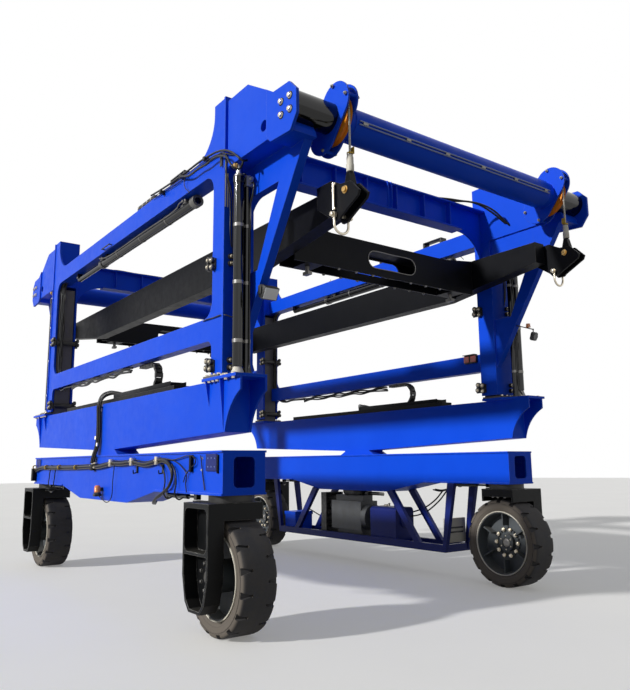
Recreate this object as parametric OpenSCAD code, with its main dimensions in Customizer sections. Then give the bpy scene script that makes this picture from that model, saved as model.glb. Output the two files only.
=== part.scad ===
// Self-propelled straddle carrier with four steered single wheels, telescopic side
// frames and a four-rope spreader. X is to the right, Y to the rear, Z up.

/* [Running gear] */
// Distance between the wheel centres, front to rear
wheelbase = 5860; // [5600:20:6200]
// Distance between the left and right wheel centres
track = 4100; // [3900:20:4400]
// Outer diameter of a tyre
tyre_d = 1090; // [1000:5:1100]
// Width of a tyre
tyre_w = 370; // [320:5:390]
// Diameter of the rim's outer ring
rim_d = 800; // [740:5:840]
// Width of a leg and its arm, front to rear
leg_w = 500; // [420:10:540]
// Thickness of a leg, across the machine
leg_t = 165; // [140:5:190]
// Height of the leg's arm plate
arm_h = 96; // [80:2:110]
// Top of the leg's arm above the ground
arm_top = 1220; // [1215:5:1240]
// Largest steering angle each way
steer_angle = 40; // [20:1:40]

/* [Wheel beams] */
// How far a wheel beam runs past the wheel centres
beam_over = 240; // [230:10:300]
// Width of a wheel beam
beam_w = 460; // [420:10:480]
// Underside of a wheel beam at its ends
beam_bottom = 1285; // [1275:5:1300]
// Top of a wheel beam
beam_top = 1700; // [1650:10:1760]
// How far the middle of a wheel beam hangs below its ends
belly_drop = 150; // [60:10:180]

/* [Sills] */
// Length of a sill box
sill_l = 6260; // [6100:20:6400]
// Width of a sill box
sill_w = 290; // [270:10:320]
// Top of the sill box, under the foot plates
sill_top = 2370; // [2300:10:2420]
// Depth of a sill at its ends
sill_end_h = 500; // [420:10:540]
// Depth of a sill at its middle
sill_mid_h = 600; // [560:10:640]
// Length of the neck between a sill and its wheel beam
neck_l = 620; // [500:10:760]

/* [Side frames] */
// Outer face of a side frame from the centre line
frame_x = 2200; // [2190:5:2230]
// Distance of a post's centre from the middle, along the machine
post_y = 2880; // [2860:5:2900]
// Size of a post along the machine
post_d = 260; // [250:5:280]
// Size of a post across the machine
post_w = 330; // [310:5:340]
// Top of the top rail
rail_top = 4810; // [4780:10:4840]
// Height of a post above the top rail
post_rise = 520; // [480:10:560]
// Depth of the top rail
rail_h = 240; // [200:10:260]
// Top of the middle rail
mid_rail_top = 3040; // [3020:10:3100]
// Depth of the middle rail
mid_rail_h = 240; // [180:10:250]
// Height that the side frames rise
lift_travel = 800; // [400:50:800]

/* [Cross tubes and ropes] */
// Distance of the cross tubes from the middle, along the machine
tube_y = 4090; // [4060:5:4110]
// Height of the cross tubes' centre below the top of the top rail
tube_drop = 45; // [30:5:60]
// Outer diameter of the blue outer tube
tube_d = 330; // [310:5:340]
// Outer diameter of the black inner tube
inner_tube_d = 290; // [270:5:290]
// Distance of a sheave from the centre line
sheave_x = 1650; // [1640:5:1670]
// Outer diameter of a sheave
sheave_d = 495; // [470:5:505]
// Diameter of a hoist rope
rope_d = 22; // [18:1:28]

/* [Spreader] */
// How far the spreader's top hangs below the cross tubes' centre
rope_hang = 615; // [600:5:660]
// Depth of a spreader side beam at its middle
spreader_h = 450; // [400:10:460]
// Outer face of a spreader side beam from the centre line
spreader_x = 1570; // [1560:5:1580]
// Width of a spreader side beam
spreader_w = 170; // [140:5:180]
// Distance of the corner locks from the middle, along the machine
lock_y = 2926.5; // [2900:0.5:2950]
// Distance of the corner locks from the centre line
lock_x = 1129.5; // [1120:0.5:1140]
// How far the spreader is hoisted above its place at rest
hoist_up = 150; // [50:10:150]
// How far the spreader is lowered below its place at rest
hoist_down = 1200; // [600:50:1200]

/* [Hidden] */
$fn = 48;

// Places that follow from the sizes above
wheel_x = track / 2;
wheel_y = wheelbase / 2;
beam_l = wheelbase + 2 * beam_over;
plate = 20;
thin_plate = 12;
fit = 0.05;

// Underside of a wheel beam: flat in the middle, rising to flat ends
belly_flat = 850;
belly_end = 1650;
function belly_z(y) = beam_bottom - belly_drop
    * (1 - min(1, max(0, (y - belly_flat) / (belly_end - belly_flat))));

// Bolted bracket plate near each end of a wheel beam
bracket_y = beam_l / 2 - 210;
bracket_z = 1590;
bracket_hole_d = 14;
bracket_pitch_y = 65;
bracket_pitch_z = 80;

// Leg and its stub axle
axle_d = 130;
hub_d = 300;
leg_in = wheel_x + tyre_w / 2 + 30;
leg_out = leg_in + leg_t;
leg_bottom = 245;
arm_in = wheel_x - 200;
axle_z = tyre_d / 2;

// Sill
sill_out = wheel_x + 200;
sill_in = sill_out - sill_w;
foot_t = 30;
foot_top = sill_top + foot_t;
foot_out = sill_out + 50;
foot_front = post_y + 540;

// Post: a sleeve open towards the middle, round the fixed mast
post_in = frame_x - post_w;
post_back = post_y - post_d / 2;
post_front = post_y + post_d / 2;
post_top = rail_top + post_rise;
post_foot = foot_top + 40;
post_wall = 30;
mast_clear = 12;
sleeve_top = rail_top - 260;
mast_top = sleeve_top - 50;
rail_w = 200;
mid_rail_w = 140;

// Lift cylinder
lift_x = frame_x - 62;
lift_y = post_front + 160;
lift_barrel_d = 104;
lift_rod_d = 70;
guard_d = 72;
guard_x = lift_x - 98;

// Cross tubes, and the head with the eye through it
tube_z = rail_top - tube_drop;
eye_d = 110;
head_bottom = tube_z - 225;
head_top = post_top - 65;
lift_barrel_top = head_bottom - 140;

// Brace: a slim flat bar beside the post, widening upwards
brace_x0 = post_in + 25;
brace_x1 = brace_x0 + 90;
brace_foot = post_foot + 360;
brace_foot_h = 100;
brace_web_top = post_foot + 1000;
brace_back_y = post_front + 680;
brace_back_z = head_bottom - 240;
gusset_z = head_bottom - 310;
gusset_r = 240;

// Spreader
spreader_top = tube_z - rope_hang;
spreader_bottom = spreader_top - spreader_h;
groove_r = sheave_d / 2 - 28;
lug_pin_y = tube_y + groove_r + rope_d / 2 + 0.3;
lug_pin_z = spreader_top - 165;
lug_pin_d = 36;
shackle_y = lug_pin_y - 140;
shackle_z = lug_pin_z - 195;
socket_h = 175;
swage_h = 175;
rope_bottom = lug_pin_z + socket_h + swage_h;
tip_y = 4060;
tip_h = 250;
taper_y = 2600;
lock_d = 50;
lock_seat = 70;

module block(from, to) {
    translate(from) cube(to - from);
}
module bar_x(d, x0, x1, y, z) {
    translate([x0, y, z]) rotate([0, 90, 0]) cylinder(d = d, h = x1 - x0);
}
module bar_y(d, y0, y1, x, z) {
    translate([x, y0, z]) rotate([-90, 0, 0]) cylinder(d = d, h = y1 - y0);
}
module bar_z(d, z0, z1, x, y) {
    translate([x, y, z0]) cylinder(d = d, h = z1 - z0);
}
// A flat outline in Y and Z, made x0 to x1 thick
module slab_yz(x0, x1) {
    translate([x0, 0, 0]) rotate([90, 0, 90]) linear_extrude(x1 - x0) children();
}
// A flat outline in X and Z, made y0 to y1 thick
module slab_xz(y0, y1) {
    translate([0, y1, 0]) rotate([90, 0, 0]) linear_extrude(y1 - y0) children();
}
module round_rect(x0, x1, y0, y1, r) {
    translate([x0 + r, y0]) square([x1 - x0 - 2 * r, y1 - y0]);
    translate([x0, y0 + r]) square([x1 - x0, y1 - y0 - 2 * r]);
    for (x = [x0 + r, x1 - r], y = [y0 + r, y1 - r]) translate([x, y]) circle(r);
}
// A slot with round ends, long in its second direction
module stadium(w, h) {
    translate([-w / 2, -(h - w) / 2]) square([w, h - w]);
    for (s = [-1, 1]) translate([0, s * (h - w) / 2]) circle(d = w);
}
module both_ends() {
    children();
    mirror([0, 1, 0]) children();
}
module both_sides() {
    children();
    mirror([1, 0, 0]) children();
}
module left_side() {
    mirror([1, 0, 0]) children();
}
module front_end() {
    mirror([0, 1, 0]) children();
}

// WHEEL BEAMS
module belly_outline() {
    half = beam_l / 2;
    polygon([
        [-half, beam_bottom], [-belly_end, beam_bottom], [-belly_flat, belly_z(0)],
        [belly_flat, belly_z(0)], [belly_end, beam_bottom], [half, beam_bottom],
        [half, beam_top], [-half, beam_top]
    ]);
}
// Six holes for bolting a bracket to the beam's outer face
module bracket_holes() {
    face = wheel_x + beam_w / 2;
    for (dy = [-1, 0, 1], dz = [-1, 1])
        bar_x(bracket_hole_d, face - plate - 1, face + thin_plate + 1,
            bracket_y + dy * bracket_pitch_y, bracket_z + dz * bracket_pitch_z / 2);
}
module wheel_beam() {
    half = beam_l / 2;
    pocket = 520;
    lip = 14;
    difference() {
        union() {
            slab_yz(wheel_x - beam_w / 2, wheel_x + beam_w / 2) belly_outline();
            block([wheel_x - beam_w / 2 - lip, -half, beam_top - plate],
                [wheel_x + beam_w / 2 + lip, half, beam_top]);
            both_ends() {
                block([wheel_x - beam_w / 2 - lip, belly_end + 10, beam_bottom],
                    [wheel_x + beam_w / 2 + lip, half, beam_bottom + plate]);
                block([wheel_x + beam_w / 2 - 1, bracket_y - 105, bracket_z - 80],
                    [wheel_x + beam_w / 2 + thin_plate, bracket_y + 105, bracket_z + 80]);
            }
        }
        both_ends() {
            block([wheel_x - beam_w / 2 + plate, half - pocket, beam_bottom + plate],
                [wheel_x + beam_w / 2 - plate, half - plate, beam_top - plate]);
            slab_xz(half - plate - 1, half + 1)
                round_rect(wheel_x - 115, wheel_x + 115, beam_bottom + 70, beam_top - 60, 45);
            bracket_holes();
        }
    }
}
module wheel_beam_right() {
    color("mediumblue") wheel_beam();
}
module wheel_beam_left() {
    color("mediumblue") left_side() wheel_beam();
}

// SILLS
module sill_outline() {
    half = sill_l / 2;
    polygon([
        [-half, sill_top - sill_end_h], [-neck_l / 2, sill_top - sill_mid_h],
        [-neck_l / 2, beam_top + 60], [-neck_l / 2 - 120, beam_top], [neck_l / 2 + 120, beam_top],
        [neck_l / 2, beam_top + 60], [neck_l / 2, sill_top - sill_mid_h],
        [half, sill_top - sill_end_h], [half, sill_top], [-half, sill_top]
    ]);
}
// Bracket under the overhanging end of a foot plate, hollowed by an arc
module foot_bracket_outline() {
    half = sill_l / 2;
    difference() {
        translate([half - 1, sill_top - sill_end_h]) square([foot_front - half + 1, sill_end_h]);
        translate([foot_front + 230, sill_top - sill_end_h - 90]) circle(r = 520, $fn = 96);
    }
}
// Plate that carries a post, narrower where it runs forward over the brackets
module foot_plate_outline() {
    polygon([
        [post_in, post_back], [foot_out, post_back], [foot_out, foot_front],
        [sill_in, foot_front], [sill_in, foot_front - 200], [post_in, post_front + 40]
    ]);
}
module sill() {
    rib_t = 14;
    rib_w = foot_out - sill_out - 5;
    slab_yz(sill_in, sill_out) sill_outline();
    both_ends() {
        translate([0, 0, sill_top]) linear_extrude(foot_t) foot_plate_outline();
        for (x = [sill_in, sill_out - plate]) slab_yz(x, x + plate) foot_bracket_outline();
        for (rib = [[post_back + 60, 250], [post_front + 90, sill_end_h - 10]])
            slab_xz(rib[0], rib[0] + rib_t) translate([sill_out, sill_top])
                polygon([[0, 0], [rib_w, 0], [0, -rib[1]]]);
    }
}
module sill_right() {
    color("blue") sill();
}
module sill_left() {
    color("blue") left_side() sill();
}

// FIXED MASTS
module fixed_mast() {
    x0 = post_in + post_wall + mast_clear;
    x1 = frame_x - post_wall - mast_clear;
    y0 = post_back + 15;
    y1 = post_front - post_wall - mast_clear;
    flange = 26;
    web = 60;
    pocket = (x1 - x0 - web) / 2;
    difference() {
        block([x0, y0, foot_top], [x1, y1, mast_top]);
        for (x = [x0 - 1, x1 - pocket])
            block([x, y0 + flange, foot_top + 30], [x + pocket + 1, y1 - flange, mast_top - 30]);
    }
    // Bolted flange at the foot, under the sleeve
    block([post_in + 10, post_back + 5, foot_top], [foot_out - 12, post_front + 60, foot_top + 22]);
}
module fixed_masts_right() {
    color("dimgray") both_ends() fixed_mast();
}
module fixed_masts_left() {
    color("dimgray") left_side() both_ends() fixed_mast();
}

// LIFT CYLINDERS
module lift_barrel() {
    cone_h = 90;
    difference() {
        union() {
            translate([lift_x, lift_y, foot_top]) cylinder(d1 = 120, d2 = 70, h = cone_h);
            bar_z(lift_barrel_d, foot_top + cone_h, lift_barrel_top, lift_x, lift_y);
            bar_z(lift_barrel_d + 16, lift_barrel_top - 60, lift_barrel_top, lift_x, lift_y);
        }
        bar_z(lift_rod_d + 2 * fit, foot_top + 300, lift_barrel_top + 1, lift_x, lift_y);
    }
    // Guard tube of the hoses beside the barrel
    bar_z(guard_d, foot_top, lift_barrel_top - 90, guard_x, lift_y);
    bar_z(guard_d + 24, foot_top, foot_top + 16, guard_x, lift_y);
}
module lift_barrels_right() {
    color("black") both_ends() lift_barrel();
}
module lift_barrels_left() {
    color("black") left_side() both_ends() lift_barrel();
}
module lift_rod() {
    bar_z(lift_rod_d, lift_barrel_top - lift_travel - 250, head_bottom, lift_x, lift_y);
}
module lift_rods() {
    color("silver") both_sides() both_ends() lift_rod();
}

// SLEWING RINGS AND STEERING CYLINDERS
module slewing_rings() {
    color("dimgray") both_sides() both_ends() difference() {
        bar_z(440, arm_top, beam_bottom, wheel_x, wheel_y);
        bar_z(300, arm_top - 1, beam_bottom + 1, wheel_x, wheel_y);
    }
}
steer_z = (arm_top + beam_bottom) / 2;
steer_arm_y = wheel_y - 420;
steer_x = wheel_x + 150;
lever_w = 80;
module steering_cylinder() {
    d = beam_bottom - arm_top - 12;
    x = steer_x;
    bar_y(d, wheel_y - 1080, wheel_y - 620, x, steer_z);
    bar_y(d / 2, wheel_y - 620, steer_arm_y - 30, x, steer_z);
    block([x - 25, steer_arm_y - 30, arm_top + 6], [x + 25, steer_arm_y + 30, beam_bottom - 6]);
    block([x - 20, wheel_y - 1120, arm_top], [x + 20, wheel_y - 1080, beam_bottom]);
}
module steering_cylinders() {
    color("black") both_sides() both_ends() steering_cylinder();
}

// LEGS
// Below the waist a leg narrows in two steps, each a height and a distance inwards
leg_waist = 560;
leg_steps = [[60, 330], [140, leg_bottom]];
module leg_outline() {
    h = leg_w / 2;
    polygon([
        [-h, arm_top], [-h, leg_waist],
        for (p = leg_steps) [p[0] - h, p[1]],
        for (i = [1, 0]) [h - leg_steps[i][0], leg_steps[i][1]],
        [h, leg_waist], [h, arm_top]
    ]);
}
module leg() {
    wall = 28;
    h = leg_w / 2;
    shelf = 750;
    arm_skirt = arm_h + 62;
    translate([0, wheel_y, 0]) difference() {
        union() {
            slab_yz(leg_in, leg_out) leg_outline();
            block([arm_in, -h, arm_top - arm_h], [leg_in + 1, h, arm_top]);
            for (y = [-h, h - wall]) block([arm_in, y, arm_top - arm_skirt], [leg_in + 1, y + wall, arm_top]);
            bar_x(hub_d + 30, leg_in - 20, leg_in + 1, 0, axle_z);
            bar_x(axle_d, wheel_x - 10, leg_in, 0, axle_z);
        }
        slab_yz(leg_in + wall, leg_out + 1) {
            round_rect(-h + wall, h - wall, shelf + wall, arm_top - 50, 60);
            intersection() {
                offset(delta = -wall) leg_outline();
                translate([-h, 0]) square([2 * h, shelf]);
            }
        }
    }
    // Steering lever under the cylinder's eye
    block([steer_x - lever_w / 2, steer_arm_y - 20, arm_top - 40],
        [steer_x + lever_w / 2, wheel_y - h + 1, arm_top]);
}
module leg_rear_right() {
    color("black") leg();
}
module leg_rear_left() {
    color("black") left_side() leg();
}
module leg_front_right() {
    color("black") front_end() leg();
}
module leg_front_left() {
    color("black") left_side() front_end() leg();
}

// WHEELS
lug_count = 16;
module tyre() {
    r = tyre_d / 2;
    w = tyre_w / 2;
    rim_r = rim_d / 2;
    translate([wheel_x, wheel_y, axle_z]) rotate([0, 90, 0]) difference() {
        rotate_extrude($fn = 96) polygon([
            [rim_r, -w + 20], [rim_r + 40, -w], [r - 60, -w], [r - 8, -w + 28], [r, -w + 60],
            [r, w - 60], [r - 8, w - 28], [r - 60, w], [rim_r + 40, w], [rim_r, w - 20]
        ]);
        for (i = [0:lug_count - 1], s = [-1, 1]) rotate(360 / lug_count * (i + (s > 0 ? 0.5 : 0)))
            translate([r - 22, -9, s * (w - 30) - 45]) cube([40, 18, 90]);
    }
}
module rim() {
    w = tyre_w / 2 - 22;
    r = rim_d / 2 - 0.3;
    disc_r = 250;
    hub_r = 205;
    stud_circle = 335;
    stud_count = 10;
    translate([wheel_x, wheel_y, axle_z]) rotate([0, 90, 0]) {
        difference() {
            union() {
                rotate_extrude($fn = 96) polygon([
                    [r - 26, -w], [r, -w], [r, w], [r - 26, w], [r - 40, 30], [hub_r, 10],
                    [0, 10], [0, -20], [hub_r, -20], [r - 40, -10]
                ]);
                for (i = [0:5]) rotate(60 * i) translate([hub_r + 10, -8, -w + 40])
                    cube([r - 30 - hub_r, 16, w - 30]);
                translate([0, 0, -70]) cylinder(d = 220, h = 60);
                cylinder(d = hub_d, h = leg_in - 22 - wheel_x);
            }
            translate([0, 0, -71]) cylinder(d = 120, h = 20);
            translate([0, 0, -12]) cylinder(d = axle_d + 2 * fit, h = leg_in - wheel_x);
        }
        for (i = [0:stud_count - 1]) rotate(360 / stud_count * i) translate([stud_circle / 2, 0, -46])
            cylinder(d = 30, h = 30, $fn = 6);
    }
}
module tyre_rear_right() {
    color([0.13, 0.13, 0.14]) tyre();
}
module tyre_rear_left() {
    color([0.13, 0.13, 0.14]) left_side() tyre();
}
module tyre_front_right() {
    color([0.13, 0.13, 0.14]) front_end() tyre();
}
module tyre_front_left() {
    color([0.13, 0.13, 0.14]) left_side() front_end() tyre();
}
module rim_rear_right() {
    color("gray") rim();
}
module rim_rear_left() {
    color("gray") left_side() rim();
}
module rim_front_right() {
    color("gray") front_end() rim();
}
module rim_front_left() {
    color("gray") left_side() front_end() rim();
}

// SIDE FRAMES
// Outer web with its two windows and the curved horns beside the posts
module frame_web_outline() {
    horn_r = 420;
    difference() {
        union() {
            translate([-post_front, mid_rail_top - mid_rail_h])
                square([2 * post_front, rail_top - mid_rail_top + mid_rail_h]);
            for (s = [-1, 1]) translate([s * post_y - post_d / 2, post_foot])
                square([post_d, post_top - post_foot]);
            for (s = [-1, 1]) difference() {
                translate([s > 0 ? post_back - horn_r : -post_back, rail_top]) square([horn_r, horn_r]);
                translate([s * (post_back - horn_r), rail_top + horn_r]) circle(r = horn_r, $fn = 96);
            }
        }
        round_rect(-post_back, post_back, mid_rail_top, rail_top - rail_h, 170);
    }
    for (s = [-1, 1]) difference() {
        translate([s > 0 ? post_back - 90 : -post_back, mid_rail_top - mid_rail_h - 90]) square([90, 90]);
        translate([s * (post_back - 90), mid_rail_top - mid_rail_h - 90]) circle(90);
    }
}
module head_outline() {
    polygon([
        [post_front - 1, head_bottom], [tube_y - 240, head_bottom],
        [tube_y - 170, tube_z + 185], [tube_y - 290, tube_z + 265], [tube_y - 660, head_top],
        [post_front - 1, head_top]
    ]);
}
// Half saddle under the cross tube, carried by the head
module saddle_outline() {
    polygon([
        [tube_y - 300, head_bottom - 1], [tube_y - 220, head_bottom - 55], [tube_y + 60, head_bottom - 40],
        [tube_y + 40, head_bottom + 30], [tube_y, tube_z - tube_d / 2 + 30], [tube_y - 300, tube_z - 70]
    ]);
}
module end_plate_outline() {
    polygon([
        [tube_y - 290, tube_z - 210], [tube_y - 220, tube_z - 285], [tube_y + 100, tube_z - 305],
        [tube_y + 200, tube_z - 175], [tube_y + 200, tube_z + 55], [tube_y + 90, tube_z + 170],
        [tube_y - 170, tube_z + 185], [tube_y - 290, tube_z + 265]
    ]);
}
// Brace from the post's foot to the saddle, webs at both ends of the gap behind it
module brace_outline() {
    y0 = post_front - 1;
    back_slope = (brace_back_z - brace_foot - brace_foot_h) / (brace_back_y - post_front);
    web_y = post_front + (brace_web_top - brace_foot - brace_foot_h) / back_slope;
    polygon([
        [y0, brace_foot], [tube_y + 20, head_bottom + 1], [y0, head_bottom + 1], [y0, gusset_z],
        [brace_back_y - 35, gusset_z], [web_y, brace_web_top], [y0, brace_web_top]
    ]);
    difference() {
        translate([y0, gusset_z - gusset_r]) square([gusset_r, gusset_r + 1]);
        translate([y0 + gusset_r, gusset_z - gusset_r]) circle(r = gusset_r, $fn = 96);
    }
}
module side_frame() {
    x_web = frame_x - post_wall;
    groove = [25, 35];
    difference() {
        union() {
            slab_yz(x_web, frame_x) frame_web_outline();
            // Rails behind the outer web
            block([frame_x - rail_w, -post_back, rail_top - rail_h], [x_web + 1, post_back, rail_top]);
            block([frame_x - mid_rail_w, -post_back, mid_rail_top - mid_rail_h],
                [x_web + 1, post_back, mid_rail_top]);
            both_ends() {
                // Post sleeve: inner web, end flange, closed top
                block([post_in, post_back, post_foot], [post_in + post_wall, post_front, post_top]);
                block([post_in, post_front - post_wall, post_foot], [frame_x, post_front, post_top]);
                block([post_in, post_back, sleeve_top], [frame_x, post_front, post_top]);
                // Flange edges that stand out of the post
                block([post_in, post_front - post_wall, post_foot], [frame_x + 15, post_front, post_top]);
                // Head box
                slab_yz(post_in, frame_x) head_outline();
                slab_yz(frame_x - 10, frame_x + 20) end_plate_outline();
                slab_yz(brace_x0, frame_x - 1) saddle_outline();
                slab_yz(brace_x0, brace_x1) brace_outline();
            }
        }
        both_ends() {
            bar_x(eye_d, post_in - 1, frame_x + 21, tube_y - 360, tube_z - 65);
            // Upright groove between the post's flange and the head
            block([frame_x - groove[0], post_front, head_bottom - 1], [frame_x + 1, post_front + groove[1], post_top]);
            bar_x(inner_tube_d + 2 * fit, post_in - 1, frame_x - 10, tube_y, tube_z);
        }
    }
}
module side_frame_right() {
    color("mediumblue") side_frame();
}
module side_frame_left() {
    color("mediumblue") left_side() side_frame();
}

// GUIDE ROLLERS
// Carrier plate with four adjuster caps, from the face x outwards by s
module adjusters(x, s, z) {
    plate_t = 14;
    cap_d = 66;
    low = min(x, x + s * plate_t);
    block([low, post_back - 75, z - 55], [low + plate_t, post_back + 85, z + 55]);
    for (at = [[-38, -18], [-28, 52], [42, 40], [46, -34]]) {
        cap = x + s * plate_t;
        bar_x(cap_d, min(cap, cap + s * 26), max(cap, cap + s * 26), post_back + at[0], z + at[1]);
    }
}
module guide_set(z) {
    roller_d = 76;
    adjusters(frame_x, 1, z);
    adjusters(post_in, -1, z);
    for (dz = [-36, 36]) bar_y(60, post_front, post_front + 34, frame_x - 60, z + dz);
    // Roller on the open side of the sleeve
    bar_x(roller_d, post_in + post_wall, frame_x - post_wall, post_back + 10 - roller_d / 2, z);
    for (x = [post_in + post_wall - 16, frame_x - post_wall])
        block([x, post_back - 70, z - 40], [x + 16, post_back, z + 40]);
}
module guide_rollers() {
    both_ends() {
        guide_set(post_foot + 95);
        guide_set(mid_rail_top + 540);
    }
}
module guide_rollers_right() {
    color("black") guide_rollers();
}
module guide_rollers_left() {
    color("black") left_side() guide_rollers();
}

// CROSS TUBES
sleeve_half = sheave_x - 150;
module cross_tube() {
    wall = 18;
    block_w = 400;
    block_h = 710;
    block_tilt = 39;
    pin_y = 122;
    pin_z = 275;
    module tilted() {
        translate([0, tube_y, tube_z]) rotate([-block_tilt, 0, 0]) children();
    }
    both_sides() difference() {
        bar_x(tube_d, 0, sleeve_half, tube_y, tube_z);
        bar_x(tube_d - 2 * wall, -1, sleeve_half - 30, tube_y, tube_z);
        bar_x(inner_tube_d + 2 * fit, 0, sleeve_half + 1, tube_y, tube_z);
    }
    both_sides() {
        // Sheave block, its upper end leaning outwards
        for (x = [sheave_x - 60, sheave_x + 42]) difference() {
            tilted() slab_yz(x, x + 18) stadium(block_w, block_h);
            bar_x(inner_tube_d + 2 * fit, x - 1, x + 19, tube_y, tube_z);
        }
        tilted() for (y = [-pin_y, pin_y], z = [-pin_z, pin_z]) bar_x(36, sheave_x - 72, sheave_x + 72, y, z);
        difference() {
            bar_x(inner_tube_d + 24, sleeve_half, sheave_x - 60, tube_y, tube_z);
            bar_x(inner_tube_d + 2 * fit, sleeve_half - 1, sheave_x, tube_y, tube_z);
        }
    }
}
module cross_tube_rear() {
    color("mediumblue") cross_tube();
}
module cross_tube_front() {
    color("mediumblue") front_end() cross_tube();
}
module inner_tubes() {
    wall = 16;
    color("black") both_ends() both_sides() difference() {
        bar_x(inner_tube_d, 900, frame_x - 10, tube_y, tube_z);
        bar_x(inner_tube_d - 2 * wall, 899, frame_x - 40, tube_y, tube_z);
    }
}
module sheaves() {
    r = sheave_d / 2;
    color("orange") both_ends() both_sides() translate([sheave_x, tube_y, tube_z]) rotate([0, 90, 0])
        rotate_extrude($fn = 96) polygon([
            [inner_tube_d / 2 + fit, -38], [r - 60, -38], [r - 60, -30], [r, -30], [groove_r, -14],
            [groove_r, 14], [r, 30], [r - 60, 30], [r - 60, 38], [inner_tube_d / 2 + fit, 38]
        ]);
}

// CROSS BEAMS
cross_y = post_y - 30;
cross_h = 350;
cross_top = rail_top + 170;
cross_bottom = cross_top - cross_h;
corner_r = 450;
stiffener_pitch = 480;
module cross_beam() {
    half_flange = 100;
    web = 16;
    y0 = cross_y - half_flange;
    y1 = cross_y + half_flange;
    slab_xz(cross_y - web / 2, cross_y + web / 2) {
        translate([-post_in, cross_bottom]) square([2 * post_in, cross_h]);
        for (s = [-1, 1]) difference() {
            translate([s > 0 ? post_in - corner_r : -post_in, cross_bottom - corner_r])
                square([corner_r, corner_r + 1]);
            translate([s * (post_in - corner_r), cross_bottom - corner_r]) circle(r = corner_r, $fn = 96);
        }
    }
    block([-post_in, y0, cross_top - plate], [post_in, y1, cross_top]);
    block([-post_in + corner_r, y0, cross_bottom], [post_in - corner_r, y1, cross_bottom + plate]);
    for (i = [-2.5:2.5]) translate([i * stiffener_pitch, 0, 0])
        block([-6, y0 + 10, cross_bottom + plate - 1], [6, y1 - 10, cross_top - plate + 1]);
}
module cross_beam_rear() {
    color("mediumblue") cross_beam();
}
module cross_beam_front() {
    color("mediumblue") front_end() cross_beam();
}

// HOIST CYLINDERS
hoist_d = 120;
hoist_z = rail_top - rail_h - hoist_d / 2 - 15;
hoist_x = frame_x - 115;
hoist_rear = post_back - 600;
hoist_barrel_l = 3050;
hoist_mouth = hoist_barrel_l - hoist_rear;
hoist_rod_end = post_back - 800;
module hoist_cylinder() {
    hanger = [120, 60];
    rail_z = rail_top - rail_h;
    bar_y(hoist_d, -hoist_rear, hoist_mouth, hoist_x, hoist_z);
    bar_y(hoist_d + 16, -hoist_rear, -hoist_rear + 80, hoist_x, hoist_z);
    bar_y(hoist_d + 16, hoist_mouth - 80, hoist_mouth, hoist_x, hoist_z);
    bar_y(80, hoist_mouth, hoist_rod_end, hoist_x, hoist_z);
    for (y = [-hoist_rear + 250, hoist_mouth - 300, hoist_rod_end - 70])
        block([hoist_x - hanger[0] / 2, y, hoist_z], [hoist_x + hanger[0] / 2, y + hanger[1], rail_z]);
}
module hoist_cylinders_right() {
    color("black") hoist_cylinder();
}
module hoist_cylinders_left() {
    color("black") left_side() hoist_cylinder();
}

// ROPES
module ropes() {
    color("darkgray") both_ends() both_sides() bar_z(rope_d, rope_bottom, tube_z, sheave_x, lug_pin_y);
}

// SPREADER
module spreader_beam_outline() {
    polygon([
        [-tip_y, spreader_top - tip_h], [-taper_y, spreader_bottom], [taper_y, spreader_bottom],
        [tip_y, spreader_top - tip_h], [tip_y, spreader_top], [-tip_y, spreader_top]
    ]);
}
module lug_outline() {
    polygon([
        [tip_y - 160, spreader_top - 230], [shackle_y - 70, shackle_z - 15], [shackle_y - 35, shackle_z - 55],
        [shackle_y + 45, shackle_z - 55], [shackle_y + 75, shackle_z - 30], [lug_pin_y + 170, lug_pin_z - 105],
        [lug_pin_y + 190, lug_pin_z - 60], [lug_pin_y + 75, lug_pin_z + 60], [lug_pin_y - 60, lug_pin_z + 75],
        [tip_y + 60, spreader_top - 15], [tip_y - 160, spreader_top - 15]
    ]);
}
module spreader_beam() {
    lug_t = 24;
    slab_yz(spreader_x - spreader_w, spreader_x) spreader_beam_outline();
    both_ends() {
        difference() {
            for (x = [sheave_x - 40 - lug_t, sheave_x + 40]) slab_yz(x, x + lug_t) lug_outline();
            bar_x(lug_pin_d, sheave_x - 100, sheave_x + 100, lug_pin_y, lug_pin_z);
            bar_x(lug_pin_d, sheave_x - 100, sheave_x + 100, shackle_y, shackle_z);
        }
        block([spreader_x - 1, tip_y - 160, spreader_top - 230],
            [sheave_x + 40, tip_y - 60, spreader_top - 15]);
        // Rope socket on its pin
        bar_x(lug_pin_d - 2 * fit, sheave_x - 78, sheave_x + 78, lug_pin_y, lug_pin_z);
        slab_yz(sheave_x - 30, sheave_x + 30) translate([lug_pin_y, lug_pin_z]) {
            circle(52);
            translate([-52, 0]) square([104, 60]);
            polygon([[-52, 60], [52, 60], [22, socket_h], [-22, socket_h]]);
        }
        bar_z(46, lug_pin_z + socket_h, rope_bottom, sheave_x, lug_pin_y);
    }
}
module spreader_beam_right() {
    color([0.1, 0.1, 0.11]) spreader_beam();
}
module spreader_beam_left() {
    color([0.1, 0.1, 0.11]) left_side() spreader_beam();
}
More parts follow.
